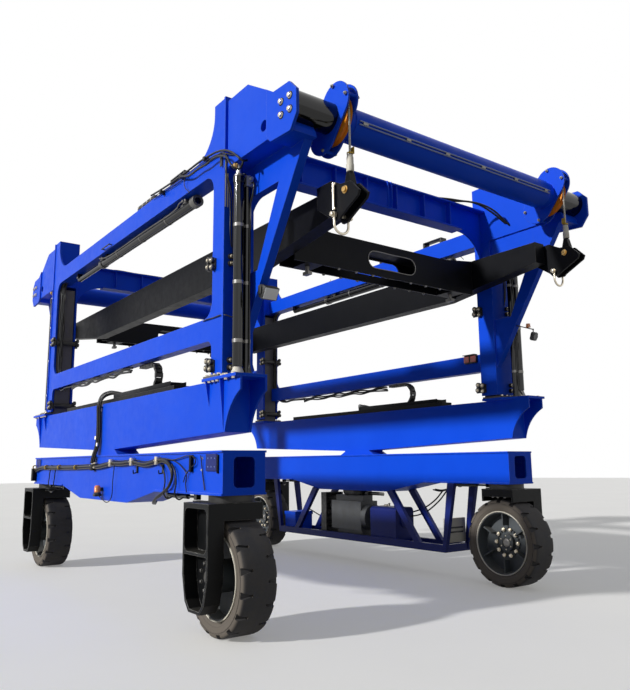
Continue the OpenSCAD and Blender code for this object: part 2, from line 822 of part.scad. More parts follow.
module spreader_end() {
    half = spreader_x - spreader_w;
    half_w = 130;
    waist = spreader_top - 60;
    waist_x = half - 500;
    slot_h = 200;
    slot_l = 750;
    for (y = [lock_y - half_w - plate, lock_y + half_w]) slab_xz(y, y + plate) difference() {
        polygon([
            [-half, spreader_bottom], [half, spreader_bottom], [half, spreader_top], [waist_x, waist],
            [-waist_x, waist], [-half, spreader_top]
        ]);
        translate([0, spreader_bottom + 190]) rotate(90) stadium(slot_h, slot_l);
    }
    difference() {
        for (s = [-1, 1]) block([s * lock_x - 110, lock_y - half_w - 1, spreader_bottom],
            [s * lock_x + 110, lock_y + half_w + 1, spreader_bottom + 120]);
        for (s = [-1, 1])
            bar_z(lock_d + 2 * fit, spreader_bottom - 1, spreader_bottom + lock_seat, s * lock_x, lock_y);
    }
    block([-half, lock_y - half_w - 1, waist - 60 - plate], [half, lock_y + half_w + 1, waist - 60]);
}
module spreader_end_rear() {
    color([0.1, 0.1, 0.11]) spreader_end();
}
module spreader_end_front() {
    color([0.1, 0.1, 0.11]) front_end() spreader_end();
}
module shackles() {
    bow_r = 82;
    bow_d = 24;
    leg_h = 85;
    color("silver") both_ends() both_sides() translate([sheave_x, shackle_y, shackle_z]) {
        bar_x(lug_pin_d - 2 * fit, -bow_r - 24, bow_r + 24, 0, 0);
        for (s = [-1, 1]) {
            bar_z(bow_d, -leg_h, 0, s * bow_r, 0);
            bar_x(54, s * bow_r - 13, s * bow_r + 13, 0, 0);
        }
        translate([0, 0, -leg_h]) rotate([-90, 0, 0]) rotate_extrude(angle = 180)
            translate([bow_r, 0]) circle(d = bow_d);
    }
}
module corner_locks() {
    color("silver") both_ends() both_sides() translate([lock_x, lock_y, spreader_bottom]) {
        translate([0, 0, -60]) cylinder(d = lock_d, h = 60 + lock_seat);
        translate([-28, -50, -95]) cube([56, 100, 36]);
    }
}

// POWER PACK UNDER THE RIGHT WHEEL BEAM
pack_in = 1790;
pack_out = 2300;
pack_bottom = 350;
pack_l = 4100;
pack_floor = pack_bottom + thin_plate;
strut_y = 2130;
stay_y = [890, 1010];
stay_foot_y = [1440, 1560];
module power_pack_frame() {
    rail = 100;
    bar = 60;
    half = pack_l / 2;
    color("navy") {
        for (x = [pack_in, pack_out - bar]) {
            block([x, -half, pack_bottom], [x + bar, half, pack_bottom + rail]);
            both_ends() slab_yz(x, x + bar) {
                polygon([
                    [half - bar, pack_bottom], [half, pack_bottom],
                    [strut_y + 2 * bar, beam_bottom], [strut_y, beam_bottom]
                ]);
                polygon([
                    [stay_foot_y[0], pack_bottom + rail - 1], [stay_foot_y[1], pack_bottom + rail - 1],
                    [stay_y[1], belly_z(stay_y[1])], [stay_y[0], belly_z(stay_y[0])]
                ]);
            }
        }
        for (y = [-half, half - bar])
            block([pack_in + bar - 1, y, pack_bottom], [pack_out - bar + 1, y + bar, pack_bottom + rail]);
        block([pack_in + bar - 1, tank_y[0] - 100, pack_bottom], [pack_out - bar + 1, half - 50, pack_floor]);
    }
}
// Places along the machine, front to rear: tank, engine, radiator, battery box
pack_x = (pack_in + pack_out) / 2;
tank_y = [-1000, -420];
engine_y = [-300, 640];
radiator_y = [720, 860];
battery_y = [1640, 1960];
engine_w = 350;
engine_top = 1050;
module engine_block() {
    sump_w = engine_w - 110;
    sump_h = 150;
    x0 = pack_x - engine_w / 2;
    x1 = pack_x + engine_w / 2;
    z0 = pack_floor + sump_h;
    color("dimgray") {
        // Crankcase, sump, head cover, flywheel housing and fan hub
        block([x0, engine_y[0] + 120, z0], [x1, engine_y[1] - 60, engine_top - 90]);
        block([pack_x - sump_w / 2, engine_y[0] + 160, pack_floor],
            [pack_x + sump_w / 2, engine_y[1] - 160, z0 + 1]);
        block([x0 + 70, engine_y[0] + 150, engine_top - 91], [x1 - 70, engine_y[1] - 100, engine_top]);
        bar_y(400, engine_y[0], engine_y[0] + 121, pack_x, z0 + 200);
        bar_y(150, engine_y[1] - 61, engine_y[1], pack_x, z0 + 290);
    }
}
module radiator() {
    w = 370;
    top = 1080;
    frame = 36;
    slats = 16;
    pitch = (top - pack_floor - 2 * frame) / slats;
    color([0.15, 0.15, 0.16]) {
        difference() {
            block([pack_x - w / 2, radiator_y[0], pack_floor], [pack_x + w / 2, radiator_y[1], top]);
            for (y = [radiator_y[0] - 1, radiator_y[1] - 29])
                block([pack_x - w / 2 + frame, y, pack_floor + frame],
                    [pack_x + w / 2 - frame, y + 30, top - frame]);
        }
        for (i = [0:slats - 1], y = [radiator_y[0] + 4, radiator_y[1] - 30])
            translate([pack_x, y, pack_floor + frame + (i + 0.3) * pitch])
                block([-w / 2 + frame - 1, 0, 0], [w / 2 - frame + 1, 26, pitch * 0.4]);
    }
}
module hydraulic_tank() {
    w = 370;
    r = 60;
    top = 900;
    filler_d = 110;
    lid_d = 190;
    color("navy") {
        slab_xz(tank_y[0], tank_y[1]) round_rect(pack_x - w / 2, pack_x + w / 2, pack_floor, top, r);
        bar_z(filler_d, top - 1, top + 50, pack_x, tank_y[0] + 150);
        bar_y(lid_d, tank_y[0] - 20, tank_y[0] + 1, pack_x, top - 200);
    }
}
module battery_box() {
    w = 370;
    top = 700;
    lid_h = 50;
    lip = 12;
    color("mediumblue") {
        block([pack_x - w / 2, battery_y[0], pack_floor], [pack_x + w / 2, battery_y[1], top]);
        block([pack_x - w / 2 - lip, battery_y[0] - lip, top - lid_h],
            [pack_x + w / 2 + lip, battery_y[1] + lip, top + lip]);
    }
}

// CABLE TRAYS ON THE SILLS
tray_w = 200;
tray_h = 60;
module cable_trays() {
    half = post_back - 850;
    x = sill_in + 40;
    color("black") both_sides() block([x, -half, sill_top], [x + tray_w, half, sill_top + tray_h]);
}

wheel_beam_left();
wheel_beam_right();
sill_left();
sill_right();
fixed_masts_left();
fixed_masts_right();
lift_barrels_left();
lift_barrels_right();
slewing_rings();
steering_cylinders();
power_pack_frame();
engine_block();
radiator();
hydraulic_tank();
battery_box();
cable_trays();
side_frame_left();
side_frame_right();
cross_tube_front();
cross_tube_rear();
inner_tubes();
cross_beam_front();
cross_beam_rear();
sheaves();
hoist_cylinders_left();
hoist_cylinders_right();
lift_rods();
guide_rollers_left();
guide_rollers_right();
ropes();
spreader_beam_left();
spreader_beam_right();
spreader_end_front();
spreader_end_rear();
shackles();
corner_locks();
leg_front_left();
leg_front_right();
leg_rear_left();
leg_rear_right();
tyre_front_left();
tyre_front_right();
tyre_rear_left();
tyre_rear_right();
rim_front_left();
rim_front_right();
rim_rear_left();
rim_rear_right();
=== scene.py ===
"""The looks of a straddle carrier: a finish for each part, and the pieces that dress it."""
from functools import partial
from math import cos, pi, radians, sin, tau
import bmesh
import bpy
from mathutils import Matrix, Vector


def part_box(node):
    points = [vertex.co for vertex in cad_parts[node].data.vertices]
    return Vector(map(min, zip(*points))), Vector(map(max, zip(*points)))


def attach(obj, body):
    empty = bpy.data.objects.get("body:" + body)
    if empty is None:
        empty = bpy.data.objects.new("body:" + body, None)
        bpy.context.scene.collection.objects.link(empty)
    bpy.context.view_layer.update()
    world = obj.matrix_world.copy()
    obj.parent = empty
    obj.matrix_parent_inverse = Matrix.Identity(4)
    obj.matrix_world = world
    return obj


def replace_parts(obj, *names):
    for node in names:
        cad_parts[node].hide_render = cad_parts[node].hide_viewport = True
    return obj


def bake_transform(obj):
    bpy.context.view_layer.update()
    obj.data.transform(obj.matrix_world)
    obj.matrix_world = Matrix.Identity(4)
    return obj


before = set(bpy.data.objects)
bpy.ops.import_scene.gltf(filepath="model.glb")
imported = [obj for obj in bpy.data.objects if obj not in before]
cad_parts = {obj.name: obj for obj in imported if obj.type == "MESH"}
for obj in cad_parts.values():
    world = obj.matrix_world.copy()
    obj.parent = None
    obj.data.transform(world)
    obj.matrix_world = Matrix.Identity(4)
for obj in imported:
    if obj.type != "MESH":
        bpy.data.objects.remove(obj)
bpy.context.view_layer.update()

# Places that the part's sizes give, in metres
WHEEL_X, WHEEL_Y, AXLE_Z = 2.05, 2.93, 0.545
BRACKET_Y, BRACKET_Z = 2.96, 1.59
POST_BACK, FOOT_TOP = 2.75, 2.4
GUIDE_HEIGHTS = (2.535, 3.58)
CAP_SCREWS = ((-0.038, -0.018), (-0.028, 0.052), (0.042, 0.04), (0.046, -0.034))
LIFT_X, LIFT_Y, GUARD_X = 2.138, 3.17, 2.04
HOIST_X, HOIST_Z = 2.085, 4.495
TUBE_Y, TUBE_Z = 4.09, 4.765
BLOCK_TILT = radians(39)
SHEAVE_X, GROOVE_R, ROPE_D, ROPE_LAY = 1.65, 0.2195, 0.022, 0.143
LUG_Y, LUG_Z = 4.3208, 3.985
SHACKLE_Y, SHACKLE_Z = 4.1808, 3.79
SPREADER_BOTTOM, SLOT_Y, SLOT_Z = 3.7, 3.08, 3.89
# Each side and end has the sign that turns over what is drawn for the right rear corner
SIDES = (("left", -1), ("right", 1))
ENDS = (("front", -1), ("rear", 1))
CORNERS = [(e, s, xs, ys) for e, ys in ENDS for s, xs in SIDES]


# Finishes
def linear(hex_colour):
    """An sRGB hex colour as the linear values that a shader takes."""
    parts = [int(hex_colour[i:i + 2], 16) / 255 for i in (1, 3, 5)]
    return [c / 12.92 if c <= 0.04045 else ((c + 0.055) / 1.055) ** 2.4 for c in parts] + [1.0]


def feed(node, inputs):
    """Links or fills the inputs of a node."""
    for key, value in inputs.items():
        if isinstance(value, bpy.types.NodeSocket):
            node.id_data.links.new(value, node.inputs[key])
        else:
            node.inputs[key].default_value = value


def add_node(tree, kind, inputs=None, out=0, **settings):
    """Adds a node with its settings, feeds its inputs, and gives the output that is used."""
    made = tree.nodes.new(kind)
    for key, value in settings.items():
        setattr(made, key, value)
    feed(made, inputs or {})
    return made.outputs[out]


def start_finish(name, **constants):
    """A material with plain values on its shader's own sockets, what adds its nodes, and its place."""
    material = bpy.data.materials.new(name)
    material.use_nodes = True
    add = partial(add_node, material.node_tree)
    shader = material.node_tree.nodes["Principled BSDF"]
    feed(shader, {key.replace("_", " "): value for key, value in constants.items()})
    return material, add, shader, add("ShaderNodeTexCoord", out="Object")


def mix_colour(add, factor, a, b):
    """Colour a turning into colour b by the factor. A mix node's colour sockets are 6 and 7, and out 2."""
    return add("ShaderNodeMix", {"Factor": factor, 6: a, 7: b}, 2, data_type="RGBA")


def machine_enamel(name, colour, faded, dust, dust_amount=0.35, roughness=0.42, shine=0.35, edge_wear_and_highlight=0.0,
                   worn="#8F8C86", waves=0.1, edge_radius=0.007):
    """Sprayed machine enamel: even paint, slightly faded, dusty where it faces up, paler along its edges,
    where rubbed paint and a painted edge highlight share one colour.
    """
    material, add, shader, place = start_finish(name, IOR=1.5, Specular_IOR_Level=shine)
    # Fading in patches about 0.8 m wide
    patch = add("ShaderNodeTexNoise", {"Vector": place, "Scale": 1.3, "Detail": 5.0, "Roughness": 0.55})
    fade = add("ShaderNodeMapRange", {"Value": patch, "From Min": 0.35, "From Max": 0.75})
    body = mix_colour(add, fade, linear(colour), linear(faded))
    # Rain marks: 30 mm wide, drawn out ten times in height
    tall = add("ShaderNodeMapping", {"Vector": place, "Scale": (14.0, 14.0, 1.2)})
    marks = add("ShaderNodeTexNoise", {"Vector": tall, "Scale": 2.0, "Detail": 4.0})
    mark = add("ShaderNodeMapRange", {"Value": marks, "From Min": 0.62, "From Max": 0.85, "To Max": 0.06})
    body = mix_colour(add, mark, body, linear(dust))
    # Dust lies on faces that look up, in grains about 20 mm across
    normal = add("ShaderNodeNewGeometry", out="Normal")
    up = add("ShaderNodeSeparateXYZ", {"Vector": normal}, "Z")
    lying = add("ShaderNodeMapRange", {"Value": up, "From Min": 0.55, "From Max": 0.98,
                                       "To Max": dust_amount})
    grain = add("ShaderNodeTexNoise", {"Vector": place, "Scale": 9.0, "Detail": 8.0, "Roughness": 0.7})
    dusty = add("ShaderNodeMath", {0: lying, 1: grain}, operation="MULTIPLY")
    body = mix_colour(add, dusty, body, linear(dust))
    # Edges are shaded as if rounded by 7 to 12 mm
    round_edge = add("ShaderNodeBevel", {"Radius": edge_radius}, samples=4)
    if edge_wear_and_highlight:
        # Paint rubbed thin along the edges, in broken stretches; its paler colour is also a painted
        # highlight on the edges
        along = add("ShaderNodeVectorMath", {0: round_edge, 1: normal}, "Value", operation="DOT_PRODUCT")
        edge = add("ShaderNodeMapRange", {"Value": along, "From Min": 0.97, "From Max": 0.8,
                                          "To Max": edge_wear_and_highlight})
        broken = add("ShaderNodeMapRange", {"Value": grain, "From Min": 0.38, "From Max": 0.62})
        rubbed = add("ShaderNodeMath", {0: edge, 1: broken}, operation="MULTIPLY")
        body = mix_colour(add, rubbed, body, linear(worn))
    rough = add("ShaderNodeMapRange", {"Value": grain, "From Min": 0.3, "From Max": 0.8,
                                       "To Min": roughness * 0.85, "To Max": roughness * 1.3})
    # Orange peel of the spray, 4 mm across, over plates that aren't quite flat
    peel = add("ShaderNodeTexNoise", {"Vector": place, "Scale": 110.0, "Detail": 2.0})
    wave = add("ShaderNodeTexNoise", {"Vector": place, "Scale": 2.2, "Detail": 1.0})
    flat = add("ShaderNodeBump", {"Height": wave, "Normal": round_edge, "Strength": waves,
                                  "Distance": 0.02})
    bump = add("ShaderNodeBump", {"Height": peel, "Normal": flat, "Strength": 0.06, "Distance": 0.001})
    feed(shader, {"Base Color": body, "Roughness": rough, "Normal": bump})
    return material


def moulded_rubber():
    """Solid tyre rubber: dull dark grey, paler and brownish where dust has been pressed into it, and paler
    on its sidewalls, partly as painted sunlight.
    """
    material, add, shader, place = start_finish("solid_tyre_rubber", IOR=1.52, Specular_IOR_Level=0.35)
    cloud = add("ShaderNodeTexNoise", {"Vector": place, "Scale": 5.0, "Detail": 8.0, "Roughness": 0.65})
    worn = add("ShaderNodeMapRange", {"Value": cloud, "From Min": 0.35, "From Max": 0.75, "To Max": 0.75})
    body = mix_colour(add, worn, linear("#29292C"), linear("#4B4743"))
    # The sidewalls are paler and brown: partly dust, which the running tread loses, and partly painted
    # sunlight on the sidewalls
    normal = add("ShaderNodeNewGeometry", out="Normal")
    side = add("ShaderNodeSeparateXYZ", {"Vector": normal}, "X")
    side = add("ShaderNodeMath", {0: side}, operation="ABSOLUTE")
    dust = add("ShaderNodeMapRange", {"Value": side, "From Min": 0.45, "From Max": 0.9, "To Max": 0.75})
    body = mix_colour(add, dust, body, linear("#6F665B"))
    rough = add("ShaderNodeMapRange", {"Value": cloud, "To Min": 0.62, "To Max": 0.9})
    # Scuffs and fine grit, 6 mm across
    grit = add("ShaderNodeTexNoise", {"Vector": place, "Scale": 80.0, "Detail": 6.0, "Roughness": 0.7})
    bump = add("ShaderNodeBump", {"Height": grit, "Strength": 0.35, "Distance": 0.003})
    feed(shader, {"Base Color": body, "Roughness": rough, "Normal": bump})
    return material


def bare_steel(name, colour, roughness, scratch=60.0, dull="#8E8C88"):
    """Machined steel: metallic, with fine lines and slightly uneven shine."""
    material, add, shader, place = start_finish(name, Metallic=1.0)
    cloud = add("ShaderNodeTexNoise", {"Vector": place, "Scale": 14.0, "Detail": 6.0})
    body = mix_colour(add, cloud, linear(colour), linear(dull))
    lines = add("ShaderNodeMapping", {"Vector": place, "Scale": (scratch, scratch, 4.0)})
    fine = add("ShaderNodeTexNoise", {"Vector": lines, "Scale": 3.0, "Detail": 3.0})
    rough = add("ShaderNodeMapRange", {"Value": fine, "To Min": roughness - 0.08,
                                       "To Max": roughness + 0.16})
    bump = add("ShaderNodeBump", {"Height": fine, "Strength": 0.05, "Distance": 0.001})
    feed(shader, {"Base Color": body, "Roughness": rough, "Normal": bump})
    return material


def cast_iron(name, colour, grease):
    """Cast or black-oiled steel: dark, grainy, with greasy patches that shine more."""
    material, add, shader, place = start_finish(name, Metallic=0.35, IOR=1.6)
    patch = add("ShaderNodeTexNoise", {"Vector": place, "Scale": 7.0, "Detail": 7.0, "Roughness": 0.6})
    body = mix_colour(add, patch, linear(colour), linear(grease))
    rough = add("ShaderNodeMapRange", {"Value": patch, "To Min": 0.7, "To Max": 0.35})
    # Sand-cast skin, 5 mm grain
    skin = add("ShaderNodeTexVoronoi", {"Vector": place, "Scale": 190.0})
    bump = add("ShaderNodeBump", {"Height": skin, "Strength": 0.18, "Distance": 0.001})
    feed(shader, {"Base Color": body, "Roughness": rough, "Normal": bump})
    return material


def banded(name, scale, low, high, strength, depth, waves=None, **constants):
    """A material with slanting bands in colour and height, by the bands' scale; waves bend the bands."""
    material, add, shader, place = start_finish(name, **constants)
    bands = add("ShaderNodeTexWave", {"Vector": place, "Scale": scale, **(waves or {})}, "Fac",
                bands_direction="DIAGONAL")
    bump = add("ShaderNodeBump", {"Height": bands, "Strength": strength, "Distance": depth})
    feed(shader, {"Base Color": mix_colour(add, bands, linear(low), linear(high)), "Normal": bump})
    return material


def hose_cover(name, colour, highlight):
    """Rubber hose cover with a wrapped-cloth texture, 11 mm wraps: nearly matt black with a soft sheen."""
    return banded(name, 55.0, colour, highlight, 0.12, 0.001, {"Distortion": 3.0, "Detail": 1.0},
                  IOR=1.5, Roughness=0.3, Specular_IOR_Level=0.3)


def stranded_rope():
    """Galvanised wire rope: bright strands that wind round it, 30 mm apart, with dark grease between."""
    return banded("galvanised_wire_rope", 22.0, "#2C2B2A", "#98968F", 0.6, 0.003, {"Distortion": 0.6},
                  Metallic=0.85, Roughness=0.38)


def strand_wires():
    """Galvanised wires of a strand: fine lines of dull zinc, drawn 4 mm apart, with grease between."""
    return banded("galvanised_strand", 160.0, "#55524D", "#A9A69E", 0.4, 0.0005,
                  Metallic=0.8, Roughness=0.42)


def moulded_plastic(name, colour, roughness=0.45):
    """Injection-moulded plastic with a fine leather-like grain, drawn 4 mm across."""
    material, add, shader, place = start_finish(name, IOR=1.46, Roughness=roughness)
    cloud = add("ShaderNodeTexNoise", {"Vector": place, "Scale": 20.0, "Detail": 4.0})
    dusty = add("ShaderNodeMapRange", {"Value": cloud, "From Min": 0.5, "From Max": 0.8, "To Max": 0.25})
    body = mix_colour(add, dusty, linear(colour), linear("#9A958C"))
    skin = add("ShaderNodeTexVoronoi", {"Vector": place, "Scale": 260.0})
    bump = add("ShaderNodeBump", {"Height": skin, "Strength": 0.1, "Distance": 0.0006})
    feed(shader, {"Base Color": body, "Normal": bump})
    return material


def lamp_lens(name, colour, glow):
    """Ribbed lens of a lamp: clear coloured plastic over a reflector, ribs 24 mm apart."""
    material, add, shader, place = start_finish(name, IOR=1.49, Roughness=0.08, Coat_Weight=0.6,
                                                 Emission_Strength=glow)
    ribs = add("ShaderNodeTexWave", {"Vector": place, "Scale": 26.0}, "Fac", bands_direction="Z")
    bump = add("ShaderNodeBump", {"Height": ribs, "Strength": 0.4, "Distance": 0.003})
    feed(shader, {"Emission Color": mix_colour(add, ribs, linear(colour), linear("#FFE0B0")),
                  "Base Color": mix_colour(add, 0.04, linear(colour), ribs), "Normal": bump})
    return material


# The pale blue along its edges is a painted highlight, not rubbed paint
BLUE = machine_enamel("cobalt_blue_enamel", "#054AD8", "#0A50E0", "#5C6A9A", shine=0.12, edge_wear_and_highlight=0.5,
                      worn="#93A8F2", edge_radius=0.01)
# A darker copy of the blue enamel: painted shade, for the tank, the power pack's frame and the six-hole
# plate's face; its lighter blue edges are a painted highlight
SHADE_BLUE = machine_enamel("shaded_blue_enamel", "#101F68", "#142678", "#5C607A", shine=0.2, edge_wear_and_highlight=0.2,
                            worn="#4A5AA0")
BLACK = machine_enamel("satin_black_enamel", "#06070B", "#0A0B10", "#45444A", shine=0.1, edge_wear_and_highlight=0.6)
GLOSS_BLACK = machine_enamel("gloss_black_enamel", "#040405", "#070708", "#2A2826", dust_amount=0.2,
                             roughness=0.08, shine=0.5, edge_wear_and_highlight=0.2, waves=0.03)
MAST_GREY = machine_enamel("grey_primer_enamel", "#5E5A5C", "#6A6668", "#4A443C", roughness=0.5, edge_wear_and_highlight=0.3)
# Its pale edges are partly rubbed paint and partly a painted highlight along the edges
LEG_BLACK = machine_enamel("worn_black_enamel", "#0A0B0C", "#101112", "#55524C", dust_amount=0.6,
                           shine=0.15, edge_wear_and_highlight=1.0, worn="#A5A39C", edge_radius=0.012)
RIM_GREY = machine_enamel("rim_grey_enamel", "#4A4E50", "#565A5C", "#A79C8A", dust_amount=0.4,
                          shine=0.25, edge_wear_and_highlight=0.3)
SHEAVE_ORANGE = machine_enamel("sheave_orange_enamel", "#F08A08", "#F59A18", "#8A5A20", roughness=0.36)
CREAM = machine_enamel("cream_enamel", "#D8D1BE", "#E2DCCE", "#8E8576", roughness=0.45)
CAST_PALE = machine_enamel("pale_cast_aluminium", "#A9ABAD", "#B7B8B8", "#6F6A62", roughness=0.5)
CONDUIT = machine_enamel("pale_blue_conduit", "#8E9CC4", "#9AA7CC", "#77798C", roughness=0.4)
RUBBER = moulded_rubber()
BRIGHT = bare_steel("zinc_plated_steel", "#E8DFCC", 0.3, dull="#C2B8A2")
BRASS = bare_steel("passivated_brass", "#E8C27A", 0.3, dull="#B8935A")
CHROME = bare_steel("chromed_rod_steel", "#E4E6E8", 0.14, scratch=20.0)
DARK_STEEL = bare_steel("dark_machined_steel", "#5A5856", 0.42)
IRON = cast_iron("black_oiled_cast_iron", "#101012", "#1D1A17")
ENGINE_GREY = cast_iron("engine_casting_grey", "#55585B", "#2E2C2A")
HOSE = hose_cover("black_hose_cover", "#060607", "#121214")
WIRE = hose_cover("grey_cable_sheath", "#1C1A19", "#3A3632")
ROPE = stranded_rope()
STRAND = strand_wires()
PLASTIC = moulded_plastic("black_moulded_plastic", "#131314")
YELLOW_PLASTIC = moulded_plastic("yellow_moulded_plastic", "#C9A227")
AMBER = lamp_lens("amber_lens", "#F07800", 0.05)
RED_LENS = lamp_lens("red_lens", "#B01018", 0.05)
CLEAR_LENS = lamp_lens("clear_lens", "#D8DCE0", 0.05)
SMOKED_LENS = lamp_lens("smoked_lens", "#2C2E32", 0.0)

NODE_FINISH = {
    "wheel_beam": BLUE, "sill": BLUE, "side_frame": BLUE, "cross_tube": BLUE, "cross_beam": BLUE,
    "battery_box": BLUE, "hydraulic_tank": SHADE_BLUE, "power_pack_frame": SHADE_BLUE,
    "fixed_masts": MAST_GREY, "lift_barrels": GLOSS_BLACK, "steering_cylinders": GLOSS_BLACK,
    "inner_tubes": GLOSS_BLACK, "hoist_cylinders": GLOSS_BLACK, "spreader": BLACK, "cable_trays": BLACK,
    "leg": LEG_BLACK, "tyre": RUBBER, "rim": RIM_GREY, "slewing_rings": IRON, "guide_rollers": IRON,
    "engine_block": ENGINE_GREY, "radiator": PLASTIC, "sheaves": SHEAVE_ORANGE, "lift_rods": CHROME,
    "ropes": ROPE, "shackles": BRIGHT, "corner_locks": DARK_STEEL,
}


def finish_nodes():
    """Gives each CAD node its finish."""
    for name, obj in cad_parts.items():
        found = max((k for k in NODE_FINISH if name.startswith(k)), key=len)
        obj.data.materials.clear()
        obj.data.materials.append(NODE_FINISH[found])


# Making pieces
def put(name, data):
    """An object of some data, in the scene."""
    obj = bpy.data.objects.new(name, data)
    bpy.context.scene.collection.objects.link(obj)
    return obj


def as_mesh(name, bm):
    """A finished bmesh as a mesh whose faces look outward."""
    bmesh.ops.recalc_face_normals(bm, faces=bm.faces)
    mesh = bpy.data.meshes.new(name)
    bm.to_mesh(mesh)
    bm.free()
    return mesh


def piece(name, bm, finish, body, sharp=32):
    """Closes a bmesh as a piece that rides on a body, or on none yet; edges over the angle stay sharp."""
    mesh = as_mesh(name, bm)
    mesh.materials.append(finish)
    mesh.shade_smooth()
    mesh.set_sharp_from_angle(angle=radians(sharp))
    obj = put(name, mesh)
    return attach(obj, body) if body else obj


def dress(rows, body, key, xs, ys=1):
    """Pieces drawn for the right rear corner, turned over to their own; each is named for its function."""
    for build, finish in rows:
        bm = bmesh.new()
        build(bm)
        bmesh.ops.transform(bm, matrix=Matrix.Diagonal((xs, ys, 1, 1)), verts=bm.verts)
        piece(f"{build.__name__}{key}", bm, finish, body)


def facing(at, out):
    """The place of a shape whose own +Z looks along out."""
    return Matrix.Translation(at) @ Vector(out).to_track_quat("Z", "Y").to_matrix().to_4x4()


def around(count, r, start=0.0):
    """Pairs on a circle, from a share of a step on."""
    turns = [tau * (i + start) / count for i in range(count)]
    return [(r * cos(a), r * sin(a)) for a in turns]


def cone(bm, place, r1, r2, high, steps):
    """A cone or a round bar along z, about a place."""
    bmesh.ops.create_cone(bm, cap_ends=True, segments=steps, radius1=r1, radius2=r2, depth=high,
                          matrix=place)


def round_bar(bm, a, b, d, steps=20, end_d=None):
    """A round bar from a to b, or a cone if its end has another diameter."""
    a, b = Vector(a), Vector(b)
    cone(bm, facing((a + b) / 2, b - a), d / 2, (end_d or d) / 2, (b - a).length, steps)


def edges_at(verts):
    """The edges of some vertices, each once and in the same order on every run."""
    return list(dict.fromkeys(e for v in verts for e in v.link_edges))


def block(bm, place, size, edge):
    """A box on a place, with its edges broken."""
    made = bmesh.ops.create_cube(bm, size=1.0, matrix=place @ Matrix.Diagonal((*size, 1)))
    if edge:
        bmesh.ops.bevel(bm, geom=edges_at(made["verts"]), offset=edge,
                        segments=2, profile=0.5, affect="EDGES", material=-1)


def box(bm, low, high, edge=0.003):
    """A box between two corners."""
    low, high = Vector(low), Vector(high)
    size = [abs(v) for v in high - low]
    block(bm, Matrix.Translation((low + high) / 2), size, min(edge, min(size) / 3))


def hex_bolt(bm, at, out, d, washer=True, dome=True):
    """A hexagon bolt head of thread d, with its washer and a domed top."""
    base = d * 0.16 if washer else 0.0
    shapes = [(6, 0.87, 0.87, 0.62, base + d * 0.31)]
    if washer:
        shapes.append((20, 1.05, 1.0, 0.16, d * 0.08))
    if dome:
        shapes.append((16, 0.72, 0.42, 0.14, base + d * 0.68))
    for steps, r1, r2, high, middle in shapes:
        cone(bm, facing(at, out) @ Matrix.Translation((0, 0, middle)), d * r1, d * r2, d * high, steps)


def lathe(bm, profile, place, steps=32):
    """Turns an (r, z) outline about the z axis of a place; one that keeps off the axis is closed."""
    verts = [bm.verts.new((r, 0, z)) for r, z in profile]
    line = verts if profile[0][0] == 0 else verts + verts[:1]
    edges = [bm.edges.new(pair) for pair in zip(line, line[1:])]
    before = set(bm.verts) - set(verts)
    bmesh.ops.spin(bm, geom=verts + edges, cent=(0, 0, 0), axis=(0, 0, 1), angle=tau, steps=steps,
                   use_merge=True)
    bmesh.ops.transform(bm, matrix=place, verts=[v for v in bm.verts if v not in before])


def ring(bm, inner, outer, low, high, place, steps=32):
    """A plain ring between two radii and two heights."""
    lathe(bm, [(inner, low), (outer, low), (outer, high), (inner, high)], place, steps)


def hoses(name, runs, d, finish, body, xs=1, ys=1):
    """Hoses or cables of one diameter: each run is a smooth curve through its points."""
    data = bpy.data.curves.new(name, "CURVE")
    data.dimensions = "3D"
    data.bevel_depth = d / 2
    data.bevel_resolution = 3
    data.resolution_u = 8
    data.use_fill_caps = True
    for run in runs:
        line = data.splines.new("BEZIER")
        line.bezier_points.add(len(run) - 1)
        for point, at in zip(line.bezier_points, run):
            point.co = (at[0] * xs, at[1] * ys, at[2])
            point.handle_left_type = point.handle_right_type = "AUTO"
    data.materials.append(finish)
    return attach(put(name, data), body)


def bolts(name, rows, finish, body, xs, ys):
    """Bolts of one finish; each row is a place, the way the head looks and the thread."""
    bm = bmesh.new()
    for at, out, d in rows:
        hex_bolt(bm, (at[0] * xs, at[1] * ys, at[2]), (out[0] * xs, out[1] * ys, out[2]), d)
    return piece(name, bm, finish, body)


# Wheels
def tyre_blank(bm):
    """Solid tyre: bead, flat sidewall with a moulded line, round shoulder and a plain wide tread."""
    half = [(0.4003, 0.16), (0.408, 0.166), (0.432, 0.177), (0.436, 0.1765), (0.44, 0.18), (0.47, 0.184),
            (0.488, 0.1845), (0.491, 0.18), (0.496, 0.18), (0.499, 0.184), (0.516, 0.1815), (0.529, 0.175),
            (0.538, 0.165), (0.543, 0.151), (0.545, 0.13), (0.545, 0.05)]
    outline = half + [(r, -z) for r, z in reversed(half)]
    lathe(bm, outline, facing((WHEEL_X, WHEEL_Y, AXLE_Z), (1, 0, 0)), 128)


def tyre_cutters(bm):
    """Wedges that notch both shoulders, 16 a side, turned half a step from each other."""
    for side in (-1, 1):
        for i in range(16):
            wedge = bmesh.ops.create_cube(bm, size=1.0)["verts"]
            for v in wedge:
                long, wide, high = (0.0, 0.012, 0.026) if v.co.x < 0 else (0.125, 0.078, 0.1)
                v.co = Vector((long, v.co.y * wide, v.co.z * high))
            turn = tau * (i + 0.5 * (side > 0)) / 16
            place = (Matrix.Translation((WHEEL_X, WHEEL_Y, AXLE_Z)) @ Matrix.Rotation(turn, 4, "X")
                     @ Matrix.Translation((side * 0.085, 0, 0.545)) @ Matrix.Diagonal((side, 1, 1, 1)))
            bmesh.ops.transform(bm, matrix=place, verts=wedge)
            # The round end of the notch, a moulded hole
            cone(bm, place @ Matrix.Translation((0.004, 0, 0)), 0.014, 0.014, 0.05, 12)


